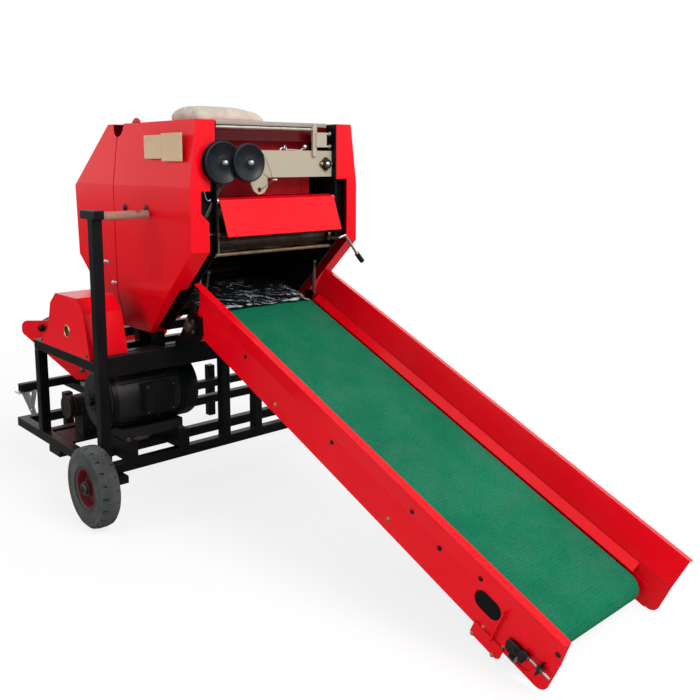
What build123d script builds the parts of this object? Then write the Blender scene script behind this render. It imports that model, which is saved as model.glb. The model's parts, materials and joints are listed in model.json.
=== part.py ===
from build123d import *
import os
from math import cos, radians, sin

# Small towed round baler with a turntable wrapper behind it, in millimetres.
# X runs forward along the feed belt, Y to the far side and Z up from the ground.
# While drawing, X is counted from the front of the bale chamber.
os.makedirs("parts", exist_ok=True)

# Frame
tube = 40.0             # square tube of the frame
tube_round = 4.0        # outside corner of the tube
frame_half = 643.0      # half width over the side rails
front_x = -266.0        # front face of the frame
leg_x = -822.0          # front face of the rear legs
rear_x = -1103.0        # rear end of the lower side rails
motor_rail_x = -453.0   # front face of the rail behind the front rail
chamber_rail_x = -530.0 # front face of the upper rail under the chamber
low_z = 168.0           # underside of the lower rails
up_z = 565.0            # underside of the upper rails
beam_tall = 80.0        # height of the upper front beam
inner_post_y = 82.0     # centre of the inner front posts
tall_post_top = 1135.0  # top of the film post

# Wheels
wheel_d = 306.0
tyre_w = 76.0
wheel_x = -250.0
wheel_gap = 10.0        # between tyre and frame
rim_d = 150.0
rim_w = 60.0
axle_d = 25.0
run_gap = 0.05          # radial clearance of a running fit

# Bale chamber
chamber_half = 285.0    # inner face of the side plates
plate_t = 5.0           # side plate
skin_t = 3.0            # sheet metal of covers and skins
cover_half = 400.0      # outer face of the side covers between the folds
cover_top_half = 368.0  # the same at the top edge
cover_low_half = 372.0  # the same at the bottom edge
top_z = 1487.0
fold_hi_z = top_z - 237
fold_lo_z = 830.0
floor_z = 672.0
toe_z = 1018.0          # bottom of the upright front edge
toe_x = -362.0          # where the sloping front edge meets the floor
split_x = -565.0        # plane between the fixed half and the rear door
door_gap = 6.0
back_x = -917.0
back_hi_z = top_z - 249
back_lo_x = -905.0
back_lo_z = 945.0
crown_x = -655.0        # rear end of the level roof
hinge_z = top_z - 9
hinge_pin_d = 20.0

# Feed conveyor, drawn along its slope from the head drum's axis
incline = 23.55         # degrees
head_x = -156.0
head_z = 722.0
drum_d = 90.0
belt_t = 3.0
belt_half = 262.0
belt_run = 1637.0       # between the two drum axes
shaft_d = 30.0
wall_half = 285.0       # side wall below its fold
wall_out = 308.0        # side wall at its top edge
wall_t = 3.0
wall_low_n = -26.0
wall_fold_n = 90.0
wall_top_n = 186.0
wall_lip = 24.0
wall_start = -10.0      # upper end of the walls, along the slope
wall_end = 1745.0
slot_len = 90.0         # take-up slot for the tail shaft
slot_tall = 56.0

# Wrapping turntable
table_x = rear_x - 347.0
table_turn = -41.4      # how the table stands at rest, degrees about Z
cheek_half = 355.0
table_roller_x = 255.0  # roller axes either side of the table's centre
cheek_top_z = 572.0
cheek_low_half = 100.0
cheek_round = 36.0
cheek_t = 5.0
roller_half = 290.0     # half length of the table rollers
table_roller_d = 60.0
table_belt_half = 270.0

pieces = []


def keep(builder, name):
    """Label a finished piece and put it on the list to be written."""
    builder.part.label = name
    pieces.append(builder.part)


def tube_run(start, direction, length, across=tube, tall=tube):
    """Add a run of rectangular tube from the centre of its end."""
    plane = Plane(origin=start, x_dir=(0, 0, 1) if direction[2] == 0 else (1, 0, 0), z_dir=direction)
    with BuildSketch(plane) as section:
        Rectangle(tall, across)
    extrude(section.sketch, amount=length)


def on_slope(s, n, y=0.0):
    """Point at distance s down the conveyor and n above its drum axes."""
    a = radians(incline)
    return (head_x + s * cos(a) + n * sin(a), y, head_z - s * sin(a) + n * cos(a))


def slope_plane(y):
    """Plane at the given Y whose x runs down the conveyor and whose y runs up from it."""
    a = radians(incline)
    return Plane(origin=on_slope(0, 0, y), x_dir=(cos(a), 0, -sin(a)), z_dir=(0, -1, 0))


def side_plane(y):
    """Upright plane at the given Y, with x forward and y up."""
    return Plane(origin=(0, y, 0), x_dir=(1, 0, 0), z_dir=(0, -1, 0))


half_tube = tube / 2
leg_y = 396.0           # rear legs
leg_top = 274.0
pump_x = -702.0
pump_z = 333.0
shelf = 210.0           # width of the pump's shelf
low_mid = low_z + half_tube
up_mid = up_z + half_tube
side_mid = frame_half - half_tube
front_mid = front_x - half_tube
leg_mid = leg_x - half_tube
rear_mid = rear_x + half_tube
beam_mid = up_z + tube + 20 - beam_tall / 2
between = 2 * (frame_half - tube)

# Lower frame: side and cross rails, rear posts, front posts, rear legs and the pump's shelf
with BuildPart() as lower_frame:
    for side in (-1, 1):
        tube_run((rear_x, side * side_mid, low_mid), (1, 0, 0), front_x - rear_x)
    for x in (front_mid, motor_rail_x - half_tube, leg_mid, rear_mid):
        tube_run((x, -between / 2, low_mid), (0, 1, 0), between)
    for side in (-1, 1):
        tube_run((leg_mid, side * side_mid, low_z + tube), (0, 0, 1), up_z - low_z - tube)
        tube_run((front_mid, side * inner_post_y, low_z + tube), (0, 0, 1),
                 beam_mid - beam_tall / 2 - low_z - tube)
        tube_run((rear_x - half_tube, side * leg_y, 0), (0, 0, 1), leg_top)
    tube_run((front_mid, side_mid, low_z + tube), (0, 0, 1), up_z - low_z)
    fillet(lower_frame.edges(), tube_round)
    with Locations((leg_x + 112, -side_mid, low_z - 14)):
        Box(104, tube, 28)
    with Locations((pump_x, -frame_half + tube + shelf / 2, low_z + tube - 4)):
        Box(170, shelf, 8)
keep(lower_frame, "lower_frame")

# Upper frame: side and cross rails with the four feet that the chamber stands on, and the front beam
with BuildPart() as upper_frame:
    for side in (-1, 1):
        tube_run((leg_x - tube, side * side_mid, up_mid), (1, 0, 0), front_x - tube - leg_x + tube)
    for x in (leg_mid, chamber_rail_x - half_tube, motor_rail_x - half_tube + 60):
        tube_run((x, -between / 2, up_mid), (0, 1, 0), between)
    fillet(upper_frame.edges(), tube_round)
    for side in (-1, 1):
        for x in (chamber_rail_x - half_tube, motor_rail_x - half_tube + 60):
            with Locations((x, side * (chamber_half + plate_t + half_tube), (up_z + tube + floor_z) / 2)):
                Box(tube, tube, floor_z - up_z - tube)
keep(upper_frame, "upper_frame")

with BuildPart() as front_beam:
    tube_run((front_mid, -between / 2, beam_mid), (0, 1, 0), between, across=tube, tall=beam_tall)
    fillet(front_beam.edges().filter_by(Axis.Y), tube_round)
keep(front_beam, "front_beam")

# Near front corner post, tall, with the film bar on its head
with BuildPart() as film_post:
    tube_run((front_mid, -side_mid, low_z + tube), (0, 0, 1), tall_post_top - low_z - tube)
    tube_run((front_mid - 78, -side_mid, tall_post_top + 16), (1, 0, 0), 118, tall=32)
    fillet(film_post.edges(), tube_round)
keep(film_post, "film_post")

with BuildPart() as film_bar:
    with BuildSketch(Plane(origin=(front_mid, -frame_half + tube, tall_post_top + 10), z_dir=(0, 1, 0))):
        Circle(16)
    extrude(amount=195)
    fillet(film_bar.edges().filter_by(GeomType.CIRCLE).sort_by(Axis.Y)[-1], 4)
keep(film_bar, "film_bar")

# Wheels on stub axles under the front corners, with notches across the tyres' shoulders
notches = 20
notch_w = 9.0
notch_deep = 9.0
notch_len = 20.0
wheel_mid = frame_half + wheel_gap + tyre_w / 2
axle_z = wheel_d / 2
for side, name in ((-1, "near"), (1, "far")):
    wheel_section = Plane(origin=(wheel_x, side * wheel_mid, axle_z), x_dir=(0, side, 0), z_dir=(1, 0, 0))
    with BuildPart() as axle:
        with BuildSketch(Plane(origin=(wheel_x, side * (frame_half - 85), axle_z), z_dir=(0, side, 0))):
            Circle(axle_d / 2)
        extrude(amount=85 + wheel_gap + tyre_w / 2 + rim_w / 2 + 16)
        with Locations((wheel_x - 13, side * (frame_half - 58), low_z - 14)):
            Box(76, 48, 28)
    keep(axle, "axle_" + name)
    with BuildPart() as rim:
        with BuildSketch(wheel_section):
            with BuildLine():
                Polyline((-rim_w / 2, axle_d / 2 + run_gap), (-rim_w / 2, 24), (-8, 28),
                         (-8, rim_d / 2 - 10), (-rim_w / 2, rim_d / 2 - 6), (-rim_w / 2, rim_d / 2),
                         (rim_w / 2, rim_d / 2), (rim_w / 2, rim_d / 2 - 6), (2, rim_d / 2 - 10),
                         (2, 28), (rim_w / 2, 24), (rim_w / 2, axle_d / 2 + run_gap), close=True)
            make_face()
        revolve(axis=Axis((wheel_x, 0, axle_z), (0, 1, 0)))
    keep(rim, "rim_" + name)
    with BuildPart() as tyre:
        with BuildSketch(wheel_section):
            with BuildLine():
                Polyline((-rim_w / 2, rim_d / 2), (-tyre_w / 2, rim_d / 2 + 12),
                         (-tyre_w / 2, wheel_d / 2 - 14), (-tyre_w / 2 + 10, wheel_d / 2 - 3),
                         (-12, wheel_d / 2), (12, wheel_d / 2),
                         (tyre_w / 2 - 10, wheel_d / 2 - 3), (tyre_w / 2, wheel_d / 2 - 14),
                         (tyre_w / 2, rim_d / 2 + 12), (rim_w / 2, rim_d / 2), close=True)
            make_face()
        revolve(axis=Axis((wheel_x, 0, axle_z), (0, 1, 0)))
        for edge in (-1, 1):
            shoulder_y = side * wheel_mid + edge * (tyre_w - notch_len) / 2
            first = (edge + 1) * 90 / notches
            with Locations(Plane(origin=(wheel_x, shoulder_y, axle_z), z_dir=(0, 1, 0))):
                with PolarLocations((wheel_d - notch_deep) / 2, notches, start_angle=first):
                    Box(notch_deep + 2, notch_w, notch_len + 2, mode=Mode.SUBTRACT)
    keep(tyre, "tyre_" + name)

# Bale chamber, fixed half
front_outline = [(0, top_z), (split_x, top_z), (split_x, floor_z), (toe_x, floor_z), (0, toe_z)]
rear_outline = [(split_x - door_gap, top_z), (crown_x, top_z), (back_x, back_hi_z),
                (back_lo_x, back_lo_z), (split_x - door_gap, floor_z)]
inner_half = chamber_half + plate_t
cover_section = [(inner_half, top_z), (cover_top_half, top_z), (cover_half, fold_hi_z),
                 (cover_half, fold_lo_z), (cover_low_half, floor_z), (inner_half, floor_z)]
hinge_clear = 42.0
near_column = [(inner_half - 1, top_z - 83), (309, top_z - 97), (314, top_z - 252), (353, top_z - 252),
               (355, top_z - 330), (321, top_z - 364), (321, toe_z)]
far_column = [(inner_half - 1, top_z - 217), (347, top_z - 217), (347, toe_z)]
step_x = -160.0         # where the near column's sloping edge steps outward
step_half = 350.0
flange_w = 72.0         # front flange of the side plate
lug_t = 8.0
lug_r = 18.0
door_half = chamber_half + 0.5


def cover(outline, side):
    """Faceted side cover, hollow and open towards the side plate."""
    with BuildSketch(side_plane(side * inner_half)) as flank:
        Polygon(*outline, align=None)
    extrude(flank.sketch, amount=-side * (cover_half - inner_half))
    with BuildSketch(Plane(origin=(10, 0, 0), x_dir=(0, 1, 0), z_dir=(1, 0, 0))) as section:
        Polygon(*[(side * y, z) for y, z in cover_section], align=None)
    extrude(section.sketch, amount=back_x - 20, mode=Mode.INTERSECT)


for side, name in ((-1, "near"), (1, "far")):
    with BuildPart() as front_cover:
        cover(front_outline, side)
        inner_face = front_cover.faces().filter_by(Axis.Y).sort_by(Axis.Y)[0 if side > 0 else -1]
        offset(amount=-skin_t, openings=[inner_face])
        with Locations((split_x, side * (cover_half - 57), hinge_z)):
            Cylinder(hinge_clear, 120, rotation=(90, 0, 0), mode=Mode.SUBTRACT)
        column = near_column if side < 0 else far_column
        with BuildSketch(Plane(origin=(2 * skin_t, 0, 0), x_dir=(0, 1, 0), z_dir=(1, 0, 0))) as mouth:
            Polygon(*[(side * y, z) for y, z in column + [(inner_half - 1, toe_z)]], align=None)
        extrude(mouth.sketch, amount=-4 * skin_t, mode=Mode.SUBTRACT)
        with BuildSketch(side_plane(side * (inner_half - 1))) as ramp:
            Polygon((-8, toe_z), (8, toe_z), (8, floor_z - 20), (toe_x - 8, floor_z - 20),
                    (toe_x - 8, floor_z), align=None)
        extrude(ramp.sketch, amount=-side * (column[-1][0] - inner_half + 1), mode=Mode.SUBTRACT)
        if side < 0:
            step_z = toe_z - (toe_z - floor_z) * step_x / toe_x
            with BuildSketch(side_plane(side * (inner_half - 1))) as step:
                Polygon((step_x - 8, step_z), (step_x + 8, step_z), (step_x + 8, floor_z - 20),
                        (toe_x - 8, floor_z - 20), (toe_x - 8, floor_z), align=None)
            extrude(step.sketch, amount=-side * (step_half - inner_half + 1), mode=Mode.SUBTRACT)
    keep(front_cover, "cover_" + name)
    with BuildPart() as side_plate:
        with BuildSketch(side_plane(side * chamber_half)):
            with BuildLine():
                Polyline((0, top_z - skin_t), (split_x, top_z - skin_t), (split_x, floor_z),
                         (toe_x, floor_z), (0, toe_z), close=True)
            make_face()
        extrude(amount=-side * plate_t)
        with Locations((split_x, side * (chamber_half + plate_t / 2), hinge_z)):
            Cylinder(hinge_clear, 2 * plate_t, rotation=(90, 0, 0), mode=Mode.SUBTRACT)
        with BuildSketch(side_plane(side * (chamber_half - lug_t))) as lug:
            with Locations((split_x, hinge_z)):
                Circle(lug_r)
            Polygon((split_x, hinge_z - 20), (split_x + 85, hinge_z - 20), (split_x + 85, top_z - 4),
                    (split_x, top_z - 4), align=None)
        extrude(lug.sketch, amount=-side * lug_t)
        for r, low, deep in ((hinge_pin_d / 2, chamber_half - lug_t, lug_t + 18),
                             (hinge_pin_d / 2 + 6, inner_half + 0.5, 6)):
            with BuildSketch(side_plane(side * low)) as pin:
                with Locations((split_x, hinge_z)):
                    Circle(r)
            extrude(pin.sketch, amount=-side * deep)
        with Locations((-38, side * (inner_half + flange_w / 2), top_z - 257)):
            Box(4, flange_w + 0.02, 380)
    keep(side_plate, "side_plate_" + name)


# Roof sheet with its front edge turned down
roof_front_x = -57.0
roof_back_x = split_x + 17
roof_fold = 70.0
with BuildPart() as roof:
    with BuildSketch(side_plane(chamber_half)) as bend:
        Polygon((roof_front_x, top_z), (roof_back_x, top_z), (roof_back_x, top_z - skin_t),
                (roof_front_x - skin_t, top_z - skin_t), (roof_front_x - skin_t, top_z - roof_fold),
                (roof_front_x, top_z - roof_fold), align=None)
    extrude(bend.sketch, amount=2 * chamber_half)
keep(roof, "roof")

# Rear door: two covers, two cheeks and the skin that runs round the back
for side, name in ((-1, "near"), (1, "far")):
    with BuildPart() as door_cover:
        cover(rear_outline, side)
        inner_face = door_cover.faces().filter_by(Axis.Y).sort_by(Axis.Y)[0 if side > 0 else -1]
        offset(amount=-skin_t, openings=[inner_face])
        with Locations((split_x, side * (cover_half - 57), hinge_z)):
            Cylinder(hinge_clear, 120, rotation=(90, 0, 0), mode=Mode.SUBTRACT)
    keep(door_cover, "door_cover_" + name)
with BuildPart() as door:
    for side in (-1, 1):
        with BuildSketch(side_plane(side * door_half)) as cheek:
            Polygon(*rear_outline, align=None)
            with Locations((split_x, hinge_z)):
                Circle(hinge_clear - 6)
        extrude(cheek.sketch, amount=-side * (inner_half - door_half))
    with BuildSketch(side_plane(door_half)) as wrap:
        Polygon(*rear_outline, align=None)
        offset(amount=-skin_t, mode=Mode.SUBTRACT, kind=Kind.INTERSECTION)
        with Locations((split_x - door_gap, (top_z + floor_z) / 2)):
            Rectangle(4 * skin_t, top_z - floor_z + 4 * skin_t, mode=Mode.SUBTRACT)
    extrude(wrap.sketch, amount=2 * door_half)
    for side in (-1, 1):
        with Locations((split_x - 20, side * (door_half - 10), top_z)):
            Box(60, 20, 40, mode=Mode.SUBTRACT)
    with BuildSketch(side_plane(0)) as bores:
        with Locations((split_x, hinge_z)):
            Circle(hinge_pin_d / 2 + run_gap)
    extrude(bores.sketch, amount=cover_half, both=True, mode=Mode.SUBTRACT)
keep(door, "door")

# Feed conveyor: two side walls, the pan between them, the belt and its two drums
wall_profile = [(wall_half, wall_low_n), (wall_half, wall_fold_n), (wall_out, wall_top_n),
                (wall_out + wall_lip, wall_top_n - 5)]


def wall_section(side):
    """Bent strip of the side wall, as points across the slope."""
    inner = [(side * y, n) for y, n in wall_profile]
    outer = [(side * (wall_out + wall_lip), wall_top_n - 5 - wall_t),
             (side * (wall_out + wall_t), wall_top_n - wall_t),
             (side * (wall_half + wall_t), wall_fold_n), (side * (wall_half + wall_t), wall_low_n)]
    return inner + outer


def across_slope(s):
    """Plane across the conveyor at distance s, with x to the far side and y up from the belt."""
    a = radians(incline)
    return Plane(origin=on_slope(s, 0), x_dir=(0, 1, 0), z_dir=(cos(a), 0, -sin(a)))


tab_low_n = -57.0
for side, name in ((-1, "near"), (1, "far")):
    outside = side * (wall_half + wall_t)
    with BuildPart() as wall:
        with BuildSketch(across_slope(wall_start)) as strip:
            Polygon(*wall_section(side), align=None)
        extrude(strip.sketch, amount=wall_end - wall_start)
        with BuildSketch(slope_plane(0)) as outline:
            Polygon((wall_start, wall_low_n), (wall_end, wall_low_n), (wall_end, wall_top_n + 5),
                    (wall_start, wall_top_n + 5), align=None)
            fillet(outline.vertices().sort_by(Axis.X)[-2:].sort_by(Axis.Y)[:1], 30)
        extrude(outline.sketch, amount=-side * (wall_out + wall_lip + 5), mode=Mode.INTERSECT)
        with BuildSketch(slope_plane(0)) as holes:
            with Locations((wall_start + 15, -6)):
                Rectangle(50, 48)
            with Locations((belt_run + 8, 11)):
                SlotOverall(slot_len, slot_tall)
            with Locations((1510, 55)):
                SlotOverall(92, 56)
        extrude(holes.sketch, amount=-side * wall_out, mode=Mode.SUBTRACT)
        with BuildSketch(slope_plane(outside)) as tab:
            Polygon((1500, tab_low_n + 6), (1512, tab_low_n), (1596, tab_low_n), (1605, tab_low_n + 8),
                    (1605, -14), (1500, -14), align=None)
        extrude(tab.sketch, amount=-side * 6)
        with BuildSketch(slope_plane(outside)) as rib:
            Polygon((1562, wall_low_n + 2), (1566, wall_low_n + 2), (1566, wall_fold_n - 3),
                    (1562, wall_fold_n - 3), align=None)
        extrude(rib.sketch, amount=-side * 16)
    keep(wall, "wall_" + name)

# Skirts that close the gap between the walls and the belt
with BuildPart() as skirts:
    for side in (-1, 1):
        with BuildSketch(across_slope(20)) as skirt:
            Polygon((side * wall_half, 84), (side * (belt_half + 3), 56), (side * (belt_half + 3), 53.5),
                    (side * wall_half, 81), align=None)
        extrude(skirt.sketch, amount=belt_run - 20)
keep(skirts, "belt_skirts")

# Take-up blocks on the tail shaft, each with its screw and bracket
take_up_n = 24.0        # height of the screw above the shaft
with BuildPart() as take_ups:
    for side in (-1, 1):
        outside = side * (wall_half + wall_t)
        with BuildSketch(slope_plane(outside)) as block:
            with Locations((belt_run, 9)):
                RectangleRounded(58, 62, 8)
            with Locations((belt_run, 0)):
                Circle(shaft_d / 2, mode=Mode.SUBTRACT)
        extrude(block.sketch, amount=-side * 18)
        with BuildSketch(slope_plane(outside)) as bracket:
            with Locations((1708, take_up_n)):
                Rectangle(8, 44)
        extrude(bracket.sketch, amount=-side * 22)
        with BuildSketch(across_slope(belt_run + 20)) as screw:
            with Locations((side * (wall_half + wall_t + 9), take_up_n)):
                Circle(6)
        extrude(screw.sketch, amount=88)
keep(take_ups, "take_ups")

with BuildPart() as pan:
    with BuildSketch(across_slope(60)) as sheet:
        with Locations((0, drum_d / 2 - 1.5)):
            Rectangle(2 * wall_half, 3)
    extrude(sheet.sketch, amount=belt_run - 120)
keep(pan, "belt_pan")

with BuildPart() as belt:
    with BuildSketch(slope_plane(belt_half)) as loop:
        with Locations((belt_run / 2, 0)):
            SlotCenterToCenter(belt_run, drum_d + 2 * belt_t)
            SlotCenterToCenter(belt_run, drum_d, mode=Mode.SUBTRACT)
    extrude(loop.sketch, amount=2 * belt_half)
keep(belt, "feed_belt")

# Drums: distance down the slope, half length of the shaft
for s_axis, half_shaft, name in ((0, wall_half + 40, "head_drum"), (belt_run, wall_half + 15, "tail_drum")):
    with BuildPart() as drum:
        with BuildSketch(slope_plane(belt_half - 6)) as body:
            with Locations((s_axis, 0)):
                Circle(drum_d / 2 - 0.3)
        extrude(body.sketch, amount=2 * belt_half - 12)
        with BuildSketch(slope_plane(half_shaft)) as shaft:
            with Locations((s_axis, 0)):
                Circle(shaft_d / 2)
        extrude(shaft.sketch, amount=2 * half_shaft)
    keep(drum, name)

# Brackets that carry the head drum's bearings
bracket_y = wall_half + wall_t
bracket_t = 8.0
bearing_r = 35.0
bracket_top = head_z + bearing_r + 3
for side, name in ((-1, "near"), (1, "far")):
    with BuildPart() as head_bracket:
        with BuildSketch(side_plane(side * bracket_y)) as cheek:
            Polygon((front_x - tube + 4, up_z + tube + 20), (front_x - tube + 4, floor_z - 10),
                    (front_x, floor_z - 8), (head_x - 48, bracket_top),
                    (head_x + 44, bracket_top), (head_x + 48, head_z - 32),
                    (head_x + 13, head_z - 77), (front_x, up_z + tube + 20), align=None)
            with Locations((head_x, head_z)):
                Circle(shaft_d / 2, mode=Mode.SUBTRACT)
        extrude(cheek.sketch, amount=-side * bracket_t)
        with BuildSketch(side_plane(side * (bracket_y + bracket_t))) as ring:
            with Locations((head_x, head_z)):
                Circle(bearing_r)
                Circle(shaft_d / 2, mode=Mode.SUBTRACT)
        extrude(ring.sketch, amount=-side * 20)
    keep(head_bracket, "head_bracket_" + name)

# Straps that hang the upper ends of the walls on the chamber
with BuildPart() as wall_stays:
    for side in (-1, 1):
        with Locations((head_x + 26, side * (wall_half - 2), floor_z + 185)):
            Box(8, 4, 136)
keep(wall_stays, "wall_stays")

# Front of the chamber: beam, twine drums, rods, hood and feed roller
beam_x = -24.0
beam_t = 8.0
beam_lo = top_z - 207
beam_hi = top_z - 105
drum_z = top_z - 151
rod_z = top_z - 25
rod_x = beam_x + 5


def cross_bar(x, z, r, half):
    """Round bar across the chamber, between the side plates."""
    with BuildSketch(side_plane(half)) as section:
        with Locations((x, z)):
            Circle(r)
    extrude(section.sketch, amount=2 * half)


def forward_plane(x):
    """Plane across the machine at the given X, with x to the far side and y up."""
    return Plane(origin=(x, 0, 0), x_dir=(0, 1, 0), z_dir=(1, 0, 0))


# Twine drums: centre, rear face, front face, radius
drums = {"drum_left": (-275, 4, 30, 77), "drum_right": (-178, 34, 52, 69)}
pin_r = 8.0
with BuildPart() as flat_beam:
    with BuildSketch(side_plane(chamber_half)) as section:
        with Locations((beam_x - beam_t / 2, (beam_lo + beam_hi) / 2)):
            Rectangle(beam_t, beam_hi - beam_lo)
    extrude(section.sketch, amount=2 * chamber_half)
    for y, x0, x1, r in drums.values():
        with BuildSketch(forward_plane(beam_x)) as pin:
            with Locations((y, drum_z)):
                Circle(pin_r)
        extrude(pin.sketch, amount=x1 + 16 - beam_x)
keep(flat_beam, "flat_beam")

for name, (y, x0, x1, r) in drums.items():
    with BuildPart() as drum:
        wide = x1 - x0
        for start, depth, radius in ((x0, 5, r), (x0, wide, 0.84 * r), (x1 - 5, 5, r), (x0, wide + 4, 18)):
            with BuildSketch(forward_plane(start)) as disc:
                with Locations((y, drum_z)):
                    Circle(radius)
            extrude(disc.sketch, amount=depth)
        with BuildSketch(forward_plane(x0)) as bore:
            with Locations((y, drum_z)):
                Circle(pin_r + run_gap)
        extrude(bore.sketch, amount=x1 - x0 + 8, mode=Mode.SUBTRACT)
    keep(drum, name)

# Roll bracket on the beam, with two studs, and the rod that ends on it
with BuildPart() as roll_bracket:
    with Locations((beam_x + 5, 189, (beam_hi - 22 + top_z - skin_t) / 2)):
        Box(10, 20, top_z - skin_t - beam_hi + 22)
    with Locations((beam_x + 12, 220, top_z - 63)):
        Box(4, 54, 57)
    for z in (top_z - 39, top_z - 88):
        with BuildSketch(Plane(origin=(beam_x + 5, 195, z), z_dir=(0, 1, 0))) as stud:
            Circle(4)
        extrude(stud.sketch, amount=73)
keep(roll_bracket, "roll_bracket")
with BuildPart() as top_rod:
    with BuildSketch(side_plane(179)) as section:
        with Locations((rod_x, rod_z)):
            Circle(6)
    extrude(section.sketch, amount=179 + chamber_half)
keep(top_rod, "top_rod")

# Flange bearing at the far end of the beam
with BuildPart() as flange_bearing:
    with BuildSketch(forward_plane(beam_x)) as flange:
        with Locations((250, drum_z - 6)):
            Polygon((-34, 0), (0, 29), (34, 0), (0, -29))
            fillet(flange.vertices(), 7)
    extrude(flange.sketch, amount=9)
    with BuildSketch(forward_plane(beam_x + 9)) as boss:
        with Locations((250, drum_z - 6)):
            Circle(19)
    extrude(boss.sketch, amount=9)
keep(flange_bearing, "flange_bearing")

with BuildPart() as hex_lever:
    with BuildSketch(forward_plane(beam_x)) as plate:
        Polygon((-120, beam_lo + 25), (-122, beam_lo - 24), (-108, beam_lo - 50), (-86, beam_lo - 63),
                (-62, beam_lo - 58), (-43, beam_lo - 34), (-46, beam_lo + 25), align=None)
        with Locations((-82, beam_lo - 45)):
            Circle(9, mode=Mode.SUBTRACT)
    extrude(plate.sketch, amount=6)
keep(hex_lever, "hex_lever")

# Shield behind the beam, with an upright at its far edge
shield_x = -98.5
shield_lo = top_z - 277
shield_tall = 230.0
shield_end = 185.0      # far edge of the sheet, where the upright begins
with BuildPart() as inner_shield:
    with Locations((shield_x, (shield_end - chamber_half) / 2, shield_lo + shield_tall / 2)):
        Box(skin_t, shield_end + chamber_half, shield_tall)
    with Locations((shield_x, shield_end + 20, (shield_lo + top_z - skin_t) / 2)):
        Box(9, 40, top_z - skin_t - shield_lo)
keep(inner_shield, "inner_shield")

# Ribbed rollers round the chamber, turned about by the bale: the fixed ones and the door's
ring_x = -480.0
ring_z = 1090.0
ring_r = 325.0
roller_r = 35.0
fixed_rollers = [-90, -70, -10, 10, 30, 50, 70, 90]
door_rollers = [110, 130, 150, 170, 190, 210, 230, 250]
for name, angles, half in (("chamber_rollers", fixed_rollers, chamber_half),
                           ("door_rollers", door_rollers, door_half)):
    with BuildPart() as rollers:
        for angle in angles:
            place = (ring_x + ring_r * cos(radians(angle)), ring_z + ring_r * sin(radians(angle)))
            with BuildSketch(side_plane(chamber_half - 6)) as body:
                with Locations(place):
                    Circle(roller_r - 4)
                    with PolarLocations(roller_r - 5, 8, start_angle=angle):
                        Rectangle(10, 5)
            extrude(body.sketch, amount=2 * (chamber_half - 6))
            with BuildSketch(side_plane(half)) as shaft:
                with Locations(place):
                    Circle(12)
            extrude(shaft.sketch, amount=2 * half)
    keep(rollers, name)

# Guide rod across the mouth, with a knobbed upright at its near end
guide_x = -36.0
guide_z = 1000.0
knob_y = -262.0
with BuildPart() as guide_rod:
    cross_bar(guide_x, guide_z, 7, chamber_half)
    with BuildSketch(Plane.XY.offset(guide_z)) as upright:
        with Locations((guide_x, knob_y)):
            Circle(5)
    extrude(upright.sketch, amount=150)
    with Locations((guide_x, knob_y, guide_z + 155)):
        Sphere(11)
keep(guide_rod, "guide_rod")

# Hand crank on the far side: bent wire with a grip
crank_wire = 5.0
crank_grip = 9.0
crank_y = chamber_half - crank_wire - 1
crank_points = [Vector(-34, crank_y, 1030), Vector(30, crank_y, 1036), Vector(40, 303, 1045),
                Vector(40, 359, 976), Vector(40, 399, 932)]
with BuildPart() as crank:
    for start, end in zip(crank_points, crank_points[1:]):
        with BuildSketch(Plane(origin=start, z_dir=end - start)) as wire:
            Circle(crank_wire)
        extrude(wire.sketch, amount=(end - start).length)
        with Locations(end):
            Sphere(crank_wire + 0.4)
    with BuildSketch(Plane(origin=crank_points[-1], z_dir=crank_points[-2] - crank_points[-1])) as grip:
        Circle(crank_grip)
    extrude(grip.sketch, amount=48)
    with BuildSketch(side_plane(chamber_half)) as boss:
        with Locations((crank_points[0].X, crank_points[0].Z)):
            Circle(crank_grip)
    extrude(boss.sketch, amount=2 * crank_wire + 2)
keep(crank, "crank")

# Hood over the mouth, hung on its rear edge
hood_half = chamber_half - 10
hood_z = top_z - 289    # hinge axis
hood_x = -8.0
with BuildPart() as hood:
    with BuildSketch(side_plane(hood_half)) as bend:
        Polygon((hood_x + 8, hood_z + 5), (hood_x + 58, hood_z - 126), (hood_x + 55, hood_z - 126),
                (hood_x + 6, hood_z + 2), (hood_x - 22, hood_z + 10), (hood_x - 22, hood_z + 13), align=None)
    extrude(bend.sketch, amount=2 * hood_half)
    cross_bar(hood_x, hood_z, 5, chamber_half - 0.3)
keep(hood, "hood")

# Feed roller with ribs that wind round it
feed_x = -80.0
feed_z = 1040.0
feed_r = 36.0
rib_turn = 150.0        # degrees that a rib winds over the roller's length
with BuildPart() as feed_roller:
    cross_bar(feed_x, feed_z, feed_r - 6, chamber_half - 12)
    cross_bar(feed_x, feed_z, 12, chamber_half - 0.3)
    for i in range(6):
        turn = radians(60 * i)
        mid = feed_r - 5
        rib = Plane(origin=(feed_x + mid * cos(turn), -chamber_half + 14, feed_z - mid * sin(turn)),
                    x_dir=(cos(turn), 0, -sin(turn)), z_dir=(0, 1, 0))
        with BuildSketch(rib) as across:
            Rectangle(10, 7)
        add(Solid.extrude_linear_with_rotation(across.sketch.face(), (feed_x, -chamber_half + 14, feed_z),
                                               (0, 2 * chamber_half - 28, 0), rib_turn))
keep(feed_roller, "feed_roller")

# Chain guard on the near upper rail
guard_line = [(-618, 829), (-429, 830), (-375, 774), (-336, up_z + tube), (-797, up_z + tube),
              (-708, 670), (-672, 785)]
guard_w = 158.0
with BuildPart() as chain_guard:
    with BuildSketch(side_plane(-frame_half + guard_w)) as face:
        Polygon(*guard_line, align=None)
    extrude(face.sketch, amount=guard_w)
    rear_face = chain_guard.faces().filter_by(Axis.Y).sort_by(Axis.Y)[-1]
    offset(amount=-skin_t, openings=[rear_face])
    with BuildSketch(side_plane(-frame_half + 20)) as hole:
        with Locations((-525, 690)):
            Circle(24)
    extrude(hole.sketch, amount=40, mode=Mode.SUBTRACT)
keep(chain_guard, "chain_guard")

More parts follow.
